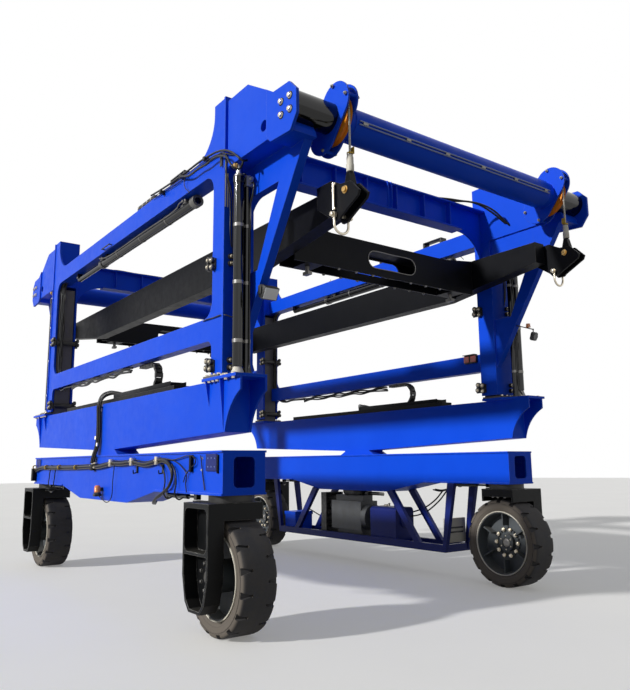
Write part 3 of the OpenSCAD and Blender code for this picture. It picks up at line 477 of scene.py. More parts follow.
def solid_tyre():
    """One notched tyre as a mesh, cut once and turned over for each corner."""
    parts = []
    for build in (tyre_blank, tyre_cutters):
        bm = bmesh.new()
        build(bm)
        parts.append(put("tyre_work", as_mesh("tyre_work", bm)))
    cut = parts[0].modifiers.new("notches", "BOOLEAN")
    cut.operation = "DIFFERENCE"
    cut.solver = "EXACT"
    cut.use_self = True
    cut.object = parts[1]
    bpy.context.view_layer.update()
    done = bpy.data.meshes.new_from_object(parts[0].evaluated_get(bpy.context.evaluated_depsgraph_get()))
    for obj in parts:
        bpy.data.objects.remove(obj)
    return done


def wheel_nuts(bm):
    """Nuts with washers on the hub, and the screws of its cap."""
    hub = facing((WHEEL_X - 0.02, WHEEL_Y, AXLE_Z), (-1, 0, 0))
    for x, y in around(10, 0.1675):
        hex_bolt(bm, hub @ Vector((x, y, 0.0265)), (-1, 0, 0), 0.024)
    for x, y in around(6, 0.085, 0.5):
        hex_bolt(bm, hub @ Vector((x, y, 0.05)), (-1, 0, 0), 0.01, washer=False)


def rim_lips(bm):
    """Rolled edge rings of the rim, inner and outer."""
    outline = [(0.384, 0.158), (0.384, 0.17), (0.39, 0.176), (0.397, 0.174), (0.3995, 0.167),
               (0.3995, 0.158)]
    for side in (-1, 1):
        lathe(bm, outline, facing((WHEEL_X, WHEEL_Y, AXLE_Z), (side, 0, 0)), 96)


def hub_cap(bm):
    """Turned cap over the hub's middle."""
    outline = [(0.0, 0.02), (0.035, 0.02), (0.04, 0.016), (0.052, 0.014), (0.058, 0.006), (0.058, -0.012),
               (0.0, -0.012)]
    lathe(bm, outline, facing((WHEEL_X - 0.052, WHEEL_Y, AXLE_Z), (-1, 0, 0)))


def dress_wheels():
    """The notched tyres, in place of the plain ones, and what sits on the rims."""
    tyre = solid_tyre()
    for e, s, xs, ys in CORNERS:
        key, body = f"{e}_{s}", f"wheel_body_{e}_{s}"
        bm = bmesh.new()
        bm.from_mesh(tyre)
        bmesh.ops.transform(bm, matrix=Matrix.Diagonal((xs, ys, 1, 1)), verts=bm.verts)
        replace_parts(piece(f"notched_tyre_{key}", bm, RUBBER, body, sharp=28), f"tyre_{key}")
        dress(((wheel_nuts, BRIGHT), (rim_lips, CREAM), (hub_cap, DARK_STEEL)), body, "_" + key, xs, ys)


# Dressing of the four corners, drawn for the right rear one
def guide_screws():
    """The bright screw in each adjuster cap, and those of the caps on the post's flange."""
    rows = [((x, POST_BACK + dy, z + dz), (out, 0, 0), 0.018)
            for x, out in ((2.24, 1), (1.83, -1)) for z in GUIDE_HEIGHTS for dy, dz in CAP_SCREWS]
    return rows + [((2.14, 3.044, z + dz), (0, 1, 0), 0.02) for z in GUIDE_HEIGHTS
                   for dz in (-0.036, 0.036)]


def guide_nuts(bm):
    """Dark lock nut and thread round each screw of the guides' carrier plates, and their edge screws."""
    nut = [(0.026, 0), (0.031, 0), (0.031, 0.005), (0.028, 0.008), (0.026, 0.008)]
    for x, out in ((2.2405, 1), (1.8295, -1)):
        for z in GUIDE_HEIGHTS:
            for dy, dz in CAP_SCREWS:
                lathe(bm, nut, facing((x, POST_BACK + dy, z + dz), (out, 0, 0)), 24)
            for dy in (-0.06, 0.07):
                for dz in (-0.044, 0.044):
                    at = (x - out * 0.026, POST_BACK + dy, z + dz)
                    hex_bolt(bm, at, (out, 0, 0), 0.01, washer=False, dome=False)


def foot_bolts():
    """Nuts over the post's foot plate and heads under it, and those of the lift cylinder's base."""
    rows = [((2.264, y, 2.422), (0, 0, 1), 0.02) for y in (2.79, 2.87, 2.95, 3.03)]
    rows += [((2.276, y, 2.37), (0, 0, -1), 0.02) for y in (2.79, 2.87, 2.95, 3.03, 3.2, 3.34)]
    rows += [((x, 3.041, 2.422), (0, 0, 1), 0.018) for x in (1.92, 2.02, 2.12, 2.215)]
    rows += [((2.276, y, 2.4), (0, 0, 1), 0.02) for y in (3.12, 3.2, 3.34)]
    return rows + [((LIFT_X + 0.078 * cos(a), LIFT_Y + 0.078 * sin(a), 2.414), (0, 0, 1), 0.014)
                   for a in (0.79, 2.36, 3.93, 5.5)]


def cylinder_foot(bm):
    """Pale cone and square base under the lift cylinder."""
    box(bm, (LIFT_X - 0.09, LIFT_Y - 0.09, 2.4005), (LIFT_X + 0.09, LIFT_Y + 0.09, 2.414))
    lathe(bm, [(0.04, 0.0145), (0.066, 0.0145), (0.064, 0.03), (0.04, 0.092), (0.036, 0.092)],
          Matrix.Translation((LIFT_X, LIFT_Y, FOOT_TOP)), 40)


def cylinder_bands(bm):
    """Gland nut and clamp bands of the lift cylinder, and the bands of its guard tube."""
    place = Matrix.Translation((LIFT_X, LIFT_Y, 0))
    guard = Matrix.Translation((GUARD_X, LIFT_Y, 0))
    lathe(bm, [(0.0365, 4.401), (0.05, 4.401), (0.052, 4.404), (0.052, 4.422), (0.046, 4.428),
               (0.0365, 4.428)], place)
    for z in (2.72, 3.3, 3.88):
        ring(bm, 0.0521, 0.055, z, z + 0.035, place, 40)
        ring(bm, 0.0361, 0.039, z, z + 0.035, guard)
        box(bm, (2.07, 3.16, z + 0.004), (2.09, 3.18, z + 0.031), 0.002)


def valve_block(bm):
    """Pale valve block over the guard tube, with a cartridge and two ports."""
    box(bm, (1.997, 3.128, 4.318), (2.074, 3.212, 4.425), 0.005)
    round_bar(bm, (2.035, 3.21, 4.39), (2.035, 3.255, 4.39), 0.034, 24)
    round_bar(bm, (2.035, 3.21, 4.345), (2.035, 3.24, 4.345), 0.026, 6)
    round_bar(bm, (2.02, 3.17, 4.42), (2.02, 3.17, 4.448), 0.028, 6)
    round_bar(bm, (2.052, 3.17, 4.42), (2.052, 3.17, 4.442), 0.024, 6)


def valve_coil(bm):
    """Ribbed coil beside the valve block."""
    place = Matrix.Translation((1.972, 3.17, 0))
    lathe(bm, [(0.0, 4.322), (0.019, 4.322), (0.019, 4.418), (0.0, 4.418)], place, 28)
    for i in range(7):
        z = 4.327 + 0.0128 * i
        ring(bm, 0.0191, 0.024, z, z + 0.007, place, 28)


def rod_eye_pin(bm):
    """Brass pin head where the lift rod meets the side frame's head."""
    lathe(bm, [(0.0, 0.026), (0.02, 0.026), (0.024, 0.02), (0.024, 0.008), (0.032, 0.006), (0.032, 0.0),
               (0.0, 0.0)], facing((2.176, 3.17, 4.515), (1, 0, 0)))


END_PLATE_HOLES = [(TUBE_Y + dy, z) for dy in (-0.035, 0.105) for z in (4.66, 4.79)]


def end_plate_washers(bm):
    """Dark washers under the end plate's bolts."""
    for y, z in END_PLATE_HOLES:
        round_bar(bm, (2.2201, y, z), (2.2241, y, z), 0.074, 28)


def block_pins(bm):
    """Collars on the spacer pins of a sheave block, which stands tilted about the tube."""
    collar = [(0.0, 0.012), (0.012, 0.012), (0.016, 0.006), (0.0182, 0.006), (0.0182, 0.0), (0.0, 0.0)]
    c, s = cos(BLOCK_TILT), sin(BLOCK_TILT)
    for x, out in ((1.578, -1), (1.722, 1)):
        for y in (-0.122, 0.122):
            for z in (-0.275, 0.275):
                place = facing((x, TUBE_Y + y * c + z * s, TUBE_Z + z * c - y * s), (out, 0, 0))
                lathe(bm, collar, place, 20)
                hex_bolt(bm, place @ Vector((0, 0, 0.012)), (out, 0, 0), 0.012, washer=False)


def rope_sleeve(bm):
    """Pale pressed sleeve over the rope's end, with its collars."""
    lathe(bm, [(0.0235, 4.168), (0.033, 4.168), (0.036, 4.174), (0.036, 4.238), (0.032, 4.246),
               (0.032, 4.3), (0.027, 4.326), (0.0235, 4.334)], Matrix.Translation((SHEAVE_X, LUG_Y, 0)))


def lug_pins(bm):
    """Pin head and washer of the rope socket on both faces of the lug."""
    head = [(0.0, 0.024), (0.022, 0.024), (0.027, 0.02), (0.027, 0.006), (0.036, 0.005), (0.036, 0.0),
            (0.0, 0.0)]
    for x, out in ((1.585, -1), (1.715, 1)):
        lathe(bm, head, facing((x, LUG_Y, LUG_Z), (out, 0, 0)))


def shackle_nuts(bm):
    """Nut and head of the shackle's pin, and the upright guard bar at the lug's root."""
    for out in (-1, 1):
        hex_bolt(bm, (SHEAVE_X + out * 0.1062, SHACKLE_Y, SHACKLE_Z), (out, 0, 0), 0.026, washer=False)
    round_bar(bm, (1.736, 4.178, 3.835), (1.736, 4.178, 4.09), 0.026, 20)
    for z in (3.845, 4.08):
        box(bm, (1.7145, 4.163, z - 0.012), (1.736, 4.193, z + 0.012))


def rope_tag(bm):
    """Small blank yellow tag tied to the rope's end."""
    box(bm, (1.615, 4.296, 4.345), (1.622, 4.345, 4.415), 0.002)
    ring(bm, 0.0275, 0.03, 4.337, 4.352, Matrix.Translation((SHEAVE_X, LUG_Y, 0)), 24)


def ring_nuts(bm):
    """Nuts of the slewing ring under the leg's arm plate, and the steering lever's pin."""
    for x, y in around(12, 0.186):
        hex_bolt(bm, (WHEEL_X + x, WHEEL_Y + y, 1.1235), (0, 0, -1), 0.018)
    round_bar(bm, (2.2, 2.51, 1.172), (2.2, 2.51, 1.18), 0.056, 24)
    hex_bolt(bm, (2.2, 2.51, 1.172), (0, 0, -1), 0.02)


def axle_bolts(bm):
    """Bolts of the stub axle's flange on the leg's outer face."""
    for y, z in around(8, 0.13, 0.5):
        hex_bolt(bm, (2.294, WHEEL_Y + y, AXLE_Z + z), (1, 0, 0), 0.02)
    lathe(bm, [(0.0, 0.012), (0.055, 0.012), (0.065, 0.0), (0.0, 0.0)],
          facing((2.293, WHEEL_Y, AXLE_Z), (1, 0, 0)))


def bracket_painted_shade(bm):
    """Painted shade: a dark sheet over the recessed six-hole plate, left open round its holes."""
    columns = (-0.105, -0.073, -0.057, -0.008, 0.008, 0.057, 0.073, 0.105)
    cells = [(-0.105, 0.105, low, high) for low, high in ((-0.08, -0.049), (-0.031, 0.031), (0.049, 0.08))]
    cells += [(left, right, low, low + 0.018) for low in (-0.049, 0.031)
              for left, right in zip(columns[::2], columns[1::2])]
    for left, right, low, high in cells:
        box(bm, (2.2922, BRACKET_Y + left, BRACKET_Z + low),
            (2.294, BRACKET_Y + right, BRACKET_Z + high), 0)


def bracket_hole_light(bm):
    """Painted light: pale blue discs in the six holes of the plate, for the lit beam face behind them."""
    for y in (BRACKET_Y - 0.065, BRACKET_Y, BRACKET_Y + 0.065):
        for z in (BRACKET_Z - 0.04, BRACKET_Z + 0.04):
            round_bar(bm, (2.2805, y, z), (2.2925, y, z), 0.013, 16)


def floodlight(bm):
    """Lamp housing with ribs and a yoke, on an arm from the brace."""
    out = (0, 0.86, -0.5)
    round_bar(bm, (1.94, 3.19, 3.36), (1.94, 3.4, 3.24), 0.022, 12)
    block(bm, facing((1.94, 3.42, 3.19), out), (0.17, 0.13, 0.07), 0.008)
    for i in range(6):
        block(bm, facing((1.875 + 0.026 * i, 3.374, 3.216), out), (0.006, 0.11, 0.05), 0.001)
    for x in (1.848, 2.032):
        box(bm, (x - 0.004, 3.37, 3.17), (x + 0.004, 3.42, 3.26), 0.002)
    box(bm, (1.85, 3.37, 3.235), (2.03, 3.4, 3.245), 0.002)


def floodlight_lens(bm):
    block(bm, facing((1.94, 3.4515, 3.1717), (0, 0.86, -0.5)), (0.15, 0.11, 0.006), 0.002)


def lamp_arm(bm):
    """Bracket arm of two small lamps on the brace."""
    out = (0, 0.94, -0.34)
    block(bm, facing((1.94, 3.42, 3.28), out), (0.04, 0.012, 0.32), 0.003)
    round_bar(bm, (1.94, 3.57, 3.235), (1.94, 3.57, 3.16), 0.014, 12)
    block(bm, facing((1.94, 3.575, 3.135), out), (0.11, 0.11, 0.05), 0.02)


def amber_lamp(bm):
    round_bar(bm, (1.94, 3.5, 3.262), (1.94, 3.5, 3.31), 0.062, 24, 0.05)


def round_lens(bm):
    round_bar(bm, (1.94, 3.598, 3.127), (1.94, 3.604, 3.125), 0.085, 32)


VALVE_HOSES = (
    ((2.052, 3.17, 4.44), (2.06, 3.12, 4.475), (2.1, 3.085, 4.46), (2.125, 3.1, 4.39),
     (2.13, 3.116, 4.37)),
    ((2.035, 3.24, 4.345), (2.035, 3.28, 4.33), (2.038, 3.275, 4.24), (2.04, 3.222, 4.1),
     (2.04, 3.222, 3.7), (2.04, 3.222, 2.75), (2.04, 3.23, 2.5), (2.05, 3.27, 2.42)))


def steering_hose(y):
    """From the steering cylinder's port round the beam's lower edge."""
    return [(2.2, y, 1.24), (2.265, y + 0.02, 1.222), (2.315, y + 0.04, 1.27), (2.312, y + 0.05, 1.4),
            (2.312, y + 0.02, 1.5), (2.312, y - 0.06, 1.575)]


def rope_wrap():
    """The rope's way over the sheave and down into the block behind it."""
    r = GROOVE_R + ROPE_D / 2
    turns = [radians(15 * i) for i in range(15)]
    return [(SHEAVE_X, TUBE_Y + r * cos(a), TUBE_Z + r * sin(a)) for a in turns]


CORNER_PIECES = {
    "chassis": ((cylinder_foot, CREAM), (cylinder_bands, DARK_STEEL), (valve_block, CAST_PALE),
                (valve_coil, ENGINE_GREY), (bracket_painted_shade, SHADE_BLUE), (bracket_hole_light, CONDUIT)),
    "gantry": ((guide_nuts, DARK_STEEL), (rod_eye_pin, BRASS), (end_plate_washers, BLACK),
               (block_pins, DARK_STEEL)),
    "spreader": ((rope_sleeve, CREAM), (lug_pins, BRASS), (shackle_nuts, BRIGHT),
                 (rope_tag, YELLOW_PLASTIC)),
}
WORK_LAMP = ((floodlight, PLASTIC), (floodlight_lens, CLEAR_LENS))
SIGNAL_LAMPS = ((lamp_arm, PLASTIC), (amber_lamp, AMBER), (round_lens, SMOKED_LENS))


def dress_corners():
    """All that repeats at the four corners; lamps of one kind stand across from each other."""
    for e, s, xs, ys in CORNERS:
        key = f"_{e}_{s}"
        for body, rows in CORNER_PIECES.items():
            dress(rows, body, key, xs, ys)
        dress(((ring_nuts, DARK_STEEL), (axle_bolts, DARK_STEEL)), "leg_body" + key, key, xs, ys)
        dress(WORK_LAMP if (e == "front") == (s == "left") else SIGNAL_LAMPS, "gantry", key, xs, ys)
        bolts("guide_screws" + key, guide_screws(), BRIGHT, "gantry", xs, ys)
        bolts("foot_bolts" + key, foot_bolts(), BRIGHT, "chassis", xs, ys)
        plate = [((2.2241, y, z), (1, 0, 0), 0.027) for y, z in END_PLATE_HOLES]
        bolts("end_plate_bolts" + key, plate, BRIGHT, "gantry", xs, ys)
        hoses("valve_hoses" + key, VALVE_HOSES, 0.018, HOSE, "chassis", xs, ys)
        runs = [steering_hose(y) for y in (1.93, 2.2)]
        hoses("steering_hoses" + key, runs, 0.016, HOSE, "chassis", xs, ys)
        hoses("rope_wrap" + key, [rope_wrap()], ROPE_D, ROPE, "gantry", xs, ys)


# Dressing of the two sides, drawn for the right one
def hose_rings(bm):
    """Yellow rings that hold the hoses together behind the middle."""
    for y in (0.95, 1.72, 2.4, 3.08):
        ring(bm, 0.022, 0.036, -0.012, 0.012, facing((2.318, y, 1.548), (0, 1, 0)), 24)


def hose_clamps(bm):
    """Bright pipe clamps on the beam's face, with their screws."""
    for y, z in ((-0.39, 1.6), (-1.07, 1.61), (-1.78, 1.617)):
        box(bm, (2.2802, y - 0.022, z - 0.045), (2.345, y + 0.022, z + 0.045), 0.008)
        hex_bolt(bm, (2.345, y, z), (1, 0, 0), 0.012)


def beam_fittings(bm):
    """Dark blocks, hooks and brackets on the beam's face."""
    box(bm, (2.2825, 3.075, 1.33), (2.35, 3.165, 1.53), 0.006)
    box(bm, (2.282, 0.235, 1.505), (2.335, 0.345, 1.585), 0.006)
    for y in (-1.16, -1.87):
        box(bm, (2.281, y - 0.018, 1.48), (2.295, y + 0.018, 1.575))
        round_bar(bm, (2.29, y, 1.485), (2.335, y, 1.478), 0.014, 12)
        round_bar(bm, (2.333, y, 1.476), (2.338, y, 1.515), 0.014, 12)
    box(bm, (2.281, -2.575, 1.5), (2.315, -2.535, 1.665), 0.004)
    box(bm, (2.281, -3.098, 1.49), (2.3, -3.078, 1.66), 0.004)


def hose_unions(bm):
    """Bright unions where the hoses of the neck join the beam's line."""
    for y, z in ((0.26, 1.598), (0.3, 1.535), (0.33, 1.57), (0.225, 1.545), (0.2, 1.6)):
        round_bar(bm, (2.318, y - 0.028, z), (2.318, y + 0.028, z), 0.032, 6)
        round_bar(bm, (2.318, y - 0.045, z), (2.318, y + 0.045, z), 0.022, 16)
    for y, z in ((0.236, 1.76), (0.186, 1.84), (0.25, 1.93), (0.22, 2.3), (0.186, 2.36), (0.262, 2.33)):
        x = 2.302 - 0.045 * (z > 2)
        round_bar(bm, (x, y, z - 0.022), (x - 0.002, y, z + 0.022), 0.034, 6)
    for z in (1.63, 1.52):
        hex_bolt(bm, (2.2805, -2.76, z), (1, 0, 0), 0.014)


def beacon_foot(bm):
    round_bar(bm, (2.2805, -0.02, 1.27), (2.345, -0.02, 1.27), 0.05, 24)
    box(bm, (2.3, -0.06, 1.185), (2.39, 0.02, 1.215), 0.006)
    round_bar(bm, (2.345, -0.02, 1.2), (2.345, -0.02, 1.235), 0.088, 32)


def beacon_lens(bm):
    lathe(bm, [(0.0, 1.325), (0.022, 1.322), (0.036, 1.31), (0.04, 1.29), (0.04, 1.236), (0.0, 1.236)],
          Matrix.Translation((2.345, -0.02, 0)))


def energy_chain(bm):
    """Energy chain: out along the tray, round a loop and back under the middle rail."""
    loop_r, turn_y, tray_z, straight, pitch = 0.155, -1.07, 2.456, 0.9, 0.05
    arc = pi * loop_r
    for i in range(35):
        d = pitch * i
        if d < straight:
            y, z, a = turn_y + straight - d, tray_z, 0.0
        elif d < straight + arc:
            a = (d - straight) / loop_r
            y, z = turn_y - loop_r * sin(a), tray_z + loop_r * (1 - cos(a))
        else:
            a, y, z = pi, turn_y + (d - straight - arc), tray_z + 2 * loop_r
        place = Matrix.Translation((2.085, y, z)) @ Matrix.Rotation(-a, 4, "X")
        wide = 0.086 if i % 2 else 0.078
        for x in (-wide / 2, wide / 2):
            block(bm, place @ Matrix.Translation((x, 0, 0)), (0.01, 0.058, 0.04), 0.004)
        for z in (-0.016, 0.016):
            block(bm, place @ Matrix.Translation((0, 0, z)), (wide, 0.04, 0.006), 0)


def tray_walls(bm):
    """Side plates that keep the chain in its tray, and the tray's end angle."""
    for x in (2.004, 2.193):
        box(bm, (x, -1.8, 2.4305), (x + 0.005, -0.06, 2.485), 0.001)
    box(bm, (2.009, -1.8, 2.4305), (2.193, -1.794, 2.475), 0.001)


def rail_items(bm):
    """Junction box, brackets and handle on the top rail, and clamps of its hoses."""
    box(bm, (2.04, -1.12, 4.8105), (2.17, -0.58, 4.895), 0.01)
    for y in (-1.95, -1.6):
        box(bm, (2.05, y - 0.015, 4.8105), (2.17, y + 0.015, 4.9), 0.004)
    box(bm, (2.05, -1.965, 4.9), (2.17, -1.585, 4.915), 0.004)
    for y in (0.24, 0.52):
        round_bar(bm, (2.2, y, 4.6), (2.245, y, 4.6), 0.018, 12)
    round_bar(bm, (2.24, 0.225, 4.6), (2.24, 0.535, 4.6), 0.018, 12)
    for y in (-1.5, -2.05, -2.62):
        box(bm, (2.2005, y - 0.02, 4.755), (2.265, y + 0.02, 4.8), 0.005)
    box(bm, (2.2165, -2.96, 4.58), (2.2265, -2.92, 4.72))


def rail_couplings(bm):
    """Bright couplings on the top rail."""
    for y in (0.58, 0.84):
        round_bar(bm, (2.1, y, 4.8105), (2.1, y, 4.86), 0.04, 6)
        round_bar(bm, (2.1, y, 4.86), (2.1, y, 4.89), 0.03, 20)
    for y in (-0.66, -0.8, -0.94, -1.06):
        round_bar(bm, (2.17, y, 4.85), (2.195, y, 4.85), 0.026, 6)
    hex_bolt(bm, (2.15, 3.0105, 4.51), (0, 1, 0), 0.02)


def hoist_details(bm):
    """Gland, end cap and port blocks of the hoist cylinder under the top rail."""
    at = facing((HOIST_X, 0, HOIST_Z), (0, 1, 0))
    for y0, y1, r in ((0.84, 0.915, 0.068), (-2.165, -2.07, 0.07)):
        lathe(bm, [(0.0405, y0), (r - 0.004, y0), (r, y0 + 0.004), (r, y1 - 0.004), (r - 0.004, y1),
                   (0.0405, y1)], at, 40)
    for y in (-1.98, 0.74):
        box(bm, (2.125, y - 0.03, 4.5), (2.172, y + 0.03, 4.55), 0.004)
        round_bar(bm, (2.17, y, 4.525), (2.195, y, 4.525), 0.028, 6)
    for y in (-1.4, -0.6, 0.2):
        ring(bm, 0.0602, 0.063, y, y + 0.03, at, 40)


def flange_edge_highlights(bm):
    """Painted highlight: two slim pale strips on the post's flange, near its outer edge, for the glint
    along that edge.
    """
    for x in (2.178, 2.203):
        box(bm, (x - 0.006, -3.0135, 4.13), (x + 0.006, -3.0102, 4.49), 0.001)


def end_lamp(bm):
    """Lamp housing under a small hood, on the inner face of the right middle rail."""
    box(bm, (2.025, -2.55, 2.93), (2.058, -2.33, 3.045), 0.008)
    box(bm, (1.985, -2.55, 3.045), (2.058, -2.33, 3.052), 0.002)


def end_lens(bm):
    for y in (-2.5, -2.38):
        box(bm, (2.012, y - 0.045, 2.945), (2.0248, y + 0.045, 3.03), 0.006)


# Ways of the hoses, as (y, z) on a face or as (x, y, z)
BEAM_RUN = ((3.06, 1.5), (2.75, 1.545), (2.4, 1.548), (1.72, 1.548), (0.95, 1.552), (0.33, 1.562),
            (0.1, 1.56), (-0.16, 1.58), (-0.39, 1.6), (-0.72, 1.598), (-1.07, 1.61), (-1.43, 1.585),
            (-1.78, 1.617), (-1.96, 1.62), (-2.1, 1.57), (-2.165, 1.48), (-2.12, 1.38), (-1.96, 1.29),
            (-1.78, 1.225))
NECK_RUN = ((2.318, 0.27, 1.6), (2.3, 0.25, 1.72), (2.285, 0.22, 1.8), (2.272, 0.215, 2.05),
            (2.274, 0.225, 2.25), (2.276, 0.22, 2.35), (2.245, 0.2, 2.45), (2.18, 0.12, 2.5),
            (2.12, -0.02, 2.49), (2.09, -0.16, 2.46))
NECK_HOSES = ((0, 0, 0.028), (0.004, 0.034, 0.026), (0.006, -0.034, 0.026), (0.024, -0.016, 0.022),
              (0.026, 0.016, 0.02), (0.004, 0.066, 0.02))
BUNDLE_HOSES = ((0, 0, 0.03), (0.034, 0.01, 0.026), (-0.004, -0.036, 0.026), (0.036, -0.03, 0.022),
                (-0.03, -0.012, 0.018))
UPPER_RUN = ((-1.2, 4.835), (-1.46, 4.815), (-1.87, 4.795), (-2.26, 4.79), (-2.5, 4.79), (-2.73, 4.775),
             (-2.91, 4.75), (-3.07, 4.7), (-3.2, 4.63), (-3.31, 4.545))
LOWER_RUN = ((-2.05, 4.775), (-2.31, 4.7), (-2.5, 4.7), (-2.69, 4.685), (-2.86, 4.69), (-3.02, 4.655),
             (-3.14, 4.59), (-3.2, 4.51))


def on_face(x, run, dy=0.0, dz=0.0):
    """A run of (y, z) points laid on a face."""
    return [(x, y + dy, z + dz) for y, z in run]


BEAM_HOSE = on_face(2.318, BEAM_RUN) + [(2.27, -1.6, 1.16), (2.2, -1.5, 1.17)]
BEAM_PIPE = (on_face(2.312, BEAM_RUN[:13], dz=-0.027) + on_face(2.312, BEAM_RUN[13:], 0.03, -0.02)
             + [(2.24, -1.58, 1.15), (2.18, -1.48, 1.17)])
BEAM_CABLES = (
    on_face(2.3, BEAM_RUN[1:13], dz=0.024)
    + [(2.3, -2.05, 1.628), (2.3, -2.21, 1.6), (2.302, -2.36, 1.545), (2.302, -2.46, 1.475),
       (2.302, -2.45, 1.39), (2.302, -2.47, 1.3)],
    ((2.302, -1.83, 1.642), (2.302, -2.14, 1.622), (2.302, -2.32, 1.64), (2.305, -2.5, 1.66),
     (2.305, -2.62, 1.645), (2.305, -2.66, 1.6), (2.305, -2.56, 1.54), (2.308, -2.45, 1.46),
     (2.308, -2.41, 1.4)),
    ((2.3, -2.76, 1.66), (2.295, -2.78, 1.55), (2.292, -2.8, 1.45), (2.292, -2.84, 1.33)),
    ((2.345, -0.06, 1.2), (2.34, -0.2, 1.15), (2.33, -0.38, 1.13), (2.32, -0.46, 1.2),
     (2.318, -0.47, 1.36), (2.318, -0.5, 1.51), (2.318, -0.52, 1.58)))
POST_HOSES = (
    on_face(2.243, UPPER_RUN) + [(2.21, -3.345, 4.5), (2.15, -3.34, 4.515)],
    on_face(2.262, LOWER_RUN)
    + [(2.235, -3.245, 4.45), (2.2, -3.26, 4.44), (2.17, -3.275, 4.48), (2.16, -3.28, 4.53)])
VALVE_DROPS = (
    ((2.212, -3.04, 4.68), (2.214, -3.035, 4.55), (2.2, -3.03, 4.44), (2.165, -3.022, 4.3),
     (2.15, -3.018, 4.1), (2.148, -3.018, 3.86), (2.13, -3.014, 3.72)),
    ((2.205, -3.02, 4.66), (2.212, -3.03, 4.5), (2.172, -3.04, 4.36), (2.135, -3.024, 4.24),
     (2.122, -3.018, 4.05), (2.118, -3.018, 3.8), (2.11, -3.014, 3.66)),
    ((2.23, -2.99, 4.7), (2.235, -3.08, 4.665), (2.215, -3.17, 4.62), (2.19, -3.24, 4.6)))
POST_CABLES = (
    on_face(2.236, UPPER_RUN[:8], 0.02, -0.026) + [(2.21, -3.04, 4.6), (2.12, -3.04, 4.52)],
    ((2.236, -2.15, 4.77), (2.24, -2.12, 4.67), (2.23, -2.23, 4.53)))
RAIL_CABLE = ((2.066, -0.9, 2.955), (2.075, -1.6, 2.962), (2.1, -2.2, 2.985), (2.16, -2.45, 3.015),
              (2.209, -2.62, 3.027), (2.2095, -2.8, 3.022), (2.209, -2.98, 3.02), (2.196, -3.03, 3.012),
              (2.16, -3.06, 2.995), (2.12, -3.085, 2.98))
RAIL_DRAPE = [[(2.165 + 0.012 * sin(5 * i + k), 1.78 - 0.213 * i,
                2.778 - 0.022 * k - 0.014 * sin(2.3 * i + k)) for i in range(12)] for k in (0, 1, 2)]
HOIST_PIPE = ((2.186, -1.98, 4.525), (2.192, -1.9, 4.515), (2.172, -1.8, 4.5), (2.16, -0.8, 4.5),
              (2.16, 0.5, 4.5), (2.172, 0.66, 4.51), (2.186, 0.74, 4.525))
SIDE_HOSES = (
    ("beam_hose", [BEAM_HOSE], 0.03, HOSE, "chassis"), ("beam_pipe", [BEAM_PIPE], 0.02, WIRE, "chassis"),
    ("beam_cable", BEAM_CABLES, 0.011, HOSE, "chassis"), ("post_hoses", POST_HOSES, 0.022, HOSE, "gantry"),
    ("valve_drops", VALVE_DROPS, 0.012, WIRE, "gantry"), ("post_cables", POST_CABLES, 0.01, WIRE, "gantry"),
    ("rail_drape", RAIL_DRAPE, 0.026, HOSE, "gantry"), ("rail_cable", [RAIL_CABLE], 0.013, HOSE, "gantry"),
    ("hoist_pipe", [HOIST_PIPE], 0.014, DARK_STEEL, "gantry"))
BEAM_PIECES = ((hose_rings, YELLOW_PLASTIC), (hose_clamps, BRIGHT), (beam_fittings, BLACK),
               (hose_unions, BRIGHT), (beacon_foot, PLASTIC), (beacon_lens, AMBER), (energy_chain, PLASTIC),
               (tray_walls, BLACK))
RAIL_PIECES = ((rail_items, PLASTIC), (rail_couplings, BRIGHT), (hoist_details, DARK_STEEL),
               (flange_edge_highlights, CREAM))


def bundle_run(i, dx, dy):
    """A hose of the bundle down the post's inner side and in under the middle rail, a little wavy."""
    wave = [0.006 * sin(2.1 * k + 1.7 * i) for k in range(9)]
    run = [(2.13 + dx + wave[k], 2.69 + dy + wave[(k + 3) % 9], 4.5 - 0.175 * k) for k in range(9)]
    run += [(2.12 + dx, 2.64 + dy, 2.98), (2.14 + dx, 2.45 + dy, 2.79 - 0.3 * dy),
            (2.155 + dx, 2.1 + dy, 2.775), (2.16 + dx * 0.5, 1.75, 2.772 - 0.3 * dy)]
    # All but the thinnest come from the top rail
    return run if i == 4 else [(2.13 + dx, 2.52 + dy, 4.58), (2.13 + dx, 2.64 + dy, 4.56)] + run


def conduit_clips(bm):
    """Small clips that hold the cross tube's two conduits."""
    a = radians(-11.75)
    out = Vector((0, cos(a), sin(a)))
    for x in (-1.4, -0.84, -0.28, 0.28, 0.84, 1.4):
        block(bm, facing(Vector((x, TUBE_Y, TUBE_Z)) + 0.178 * out, out), (0.06, 0.024, 0.012), 0.002)


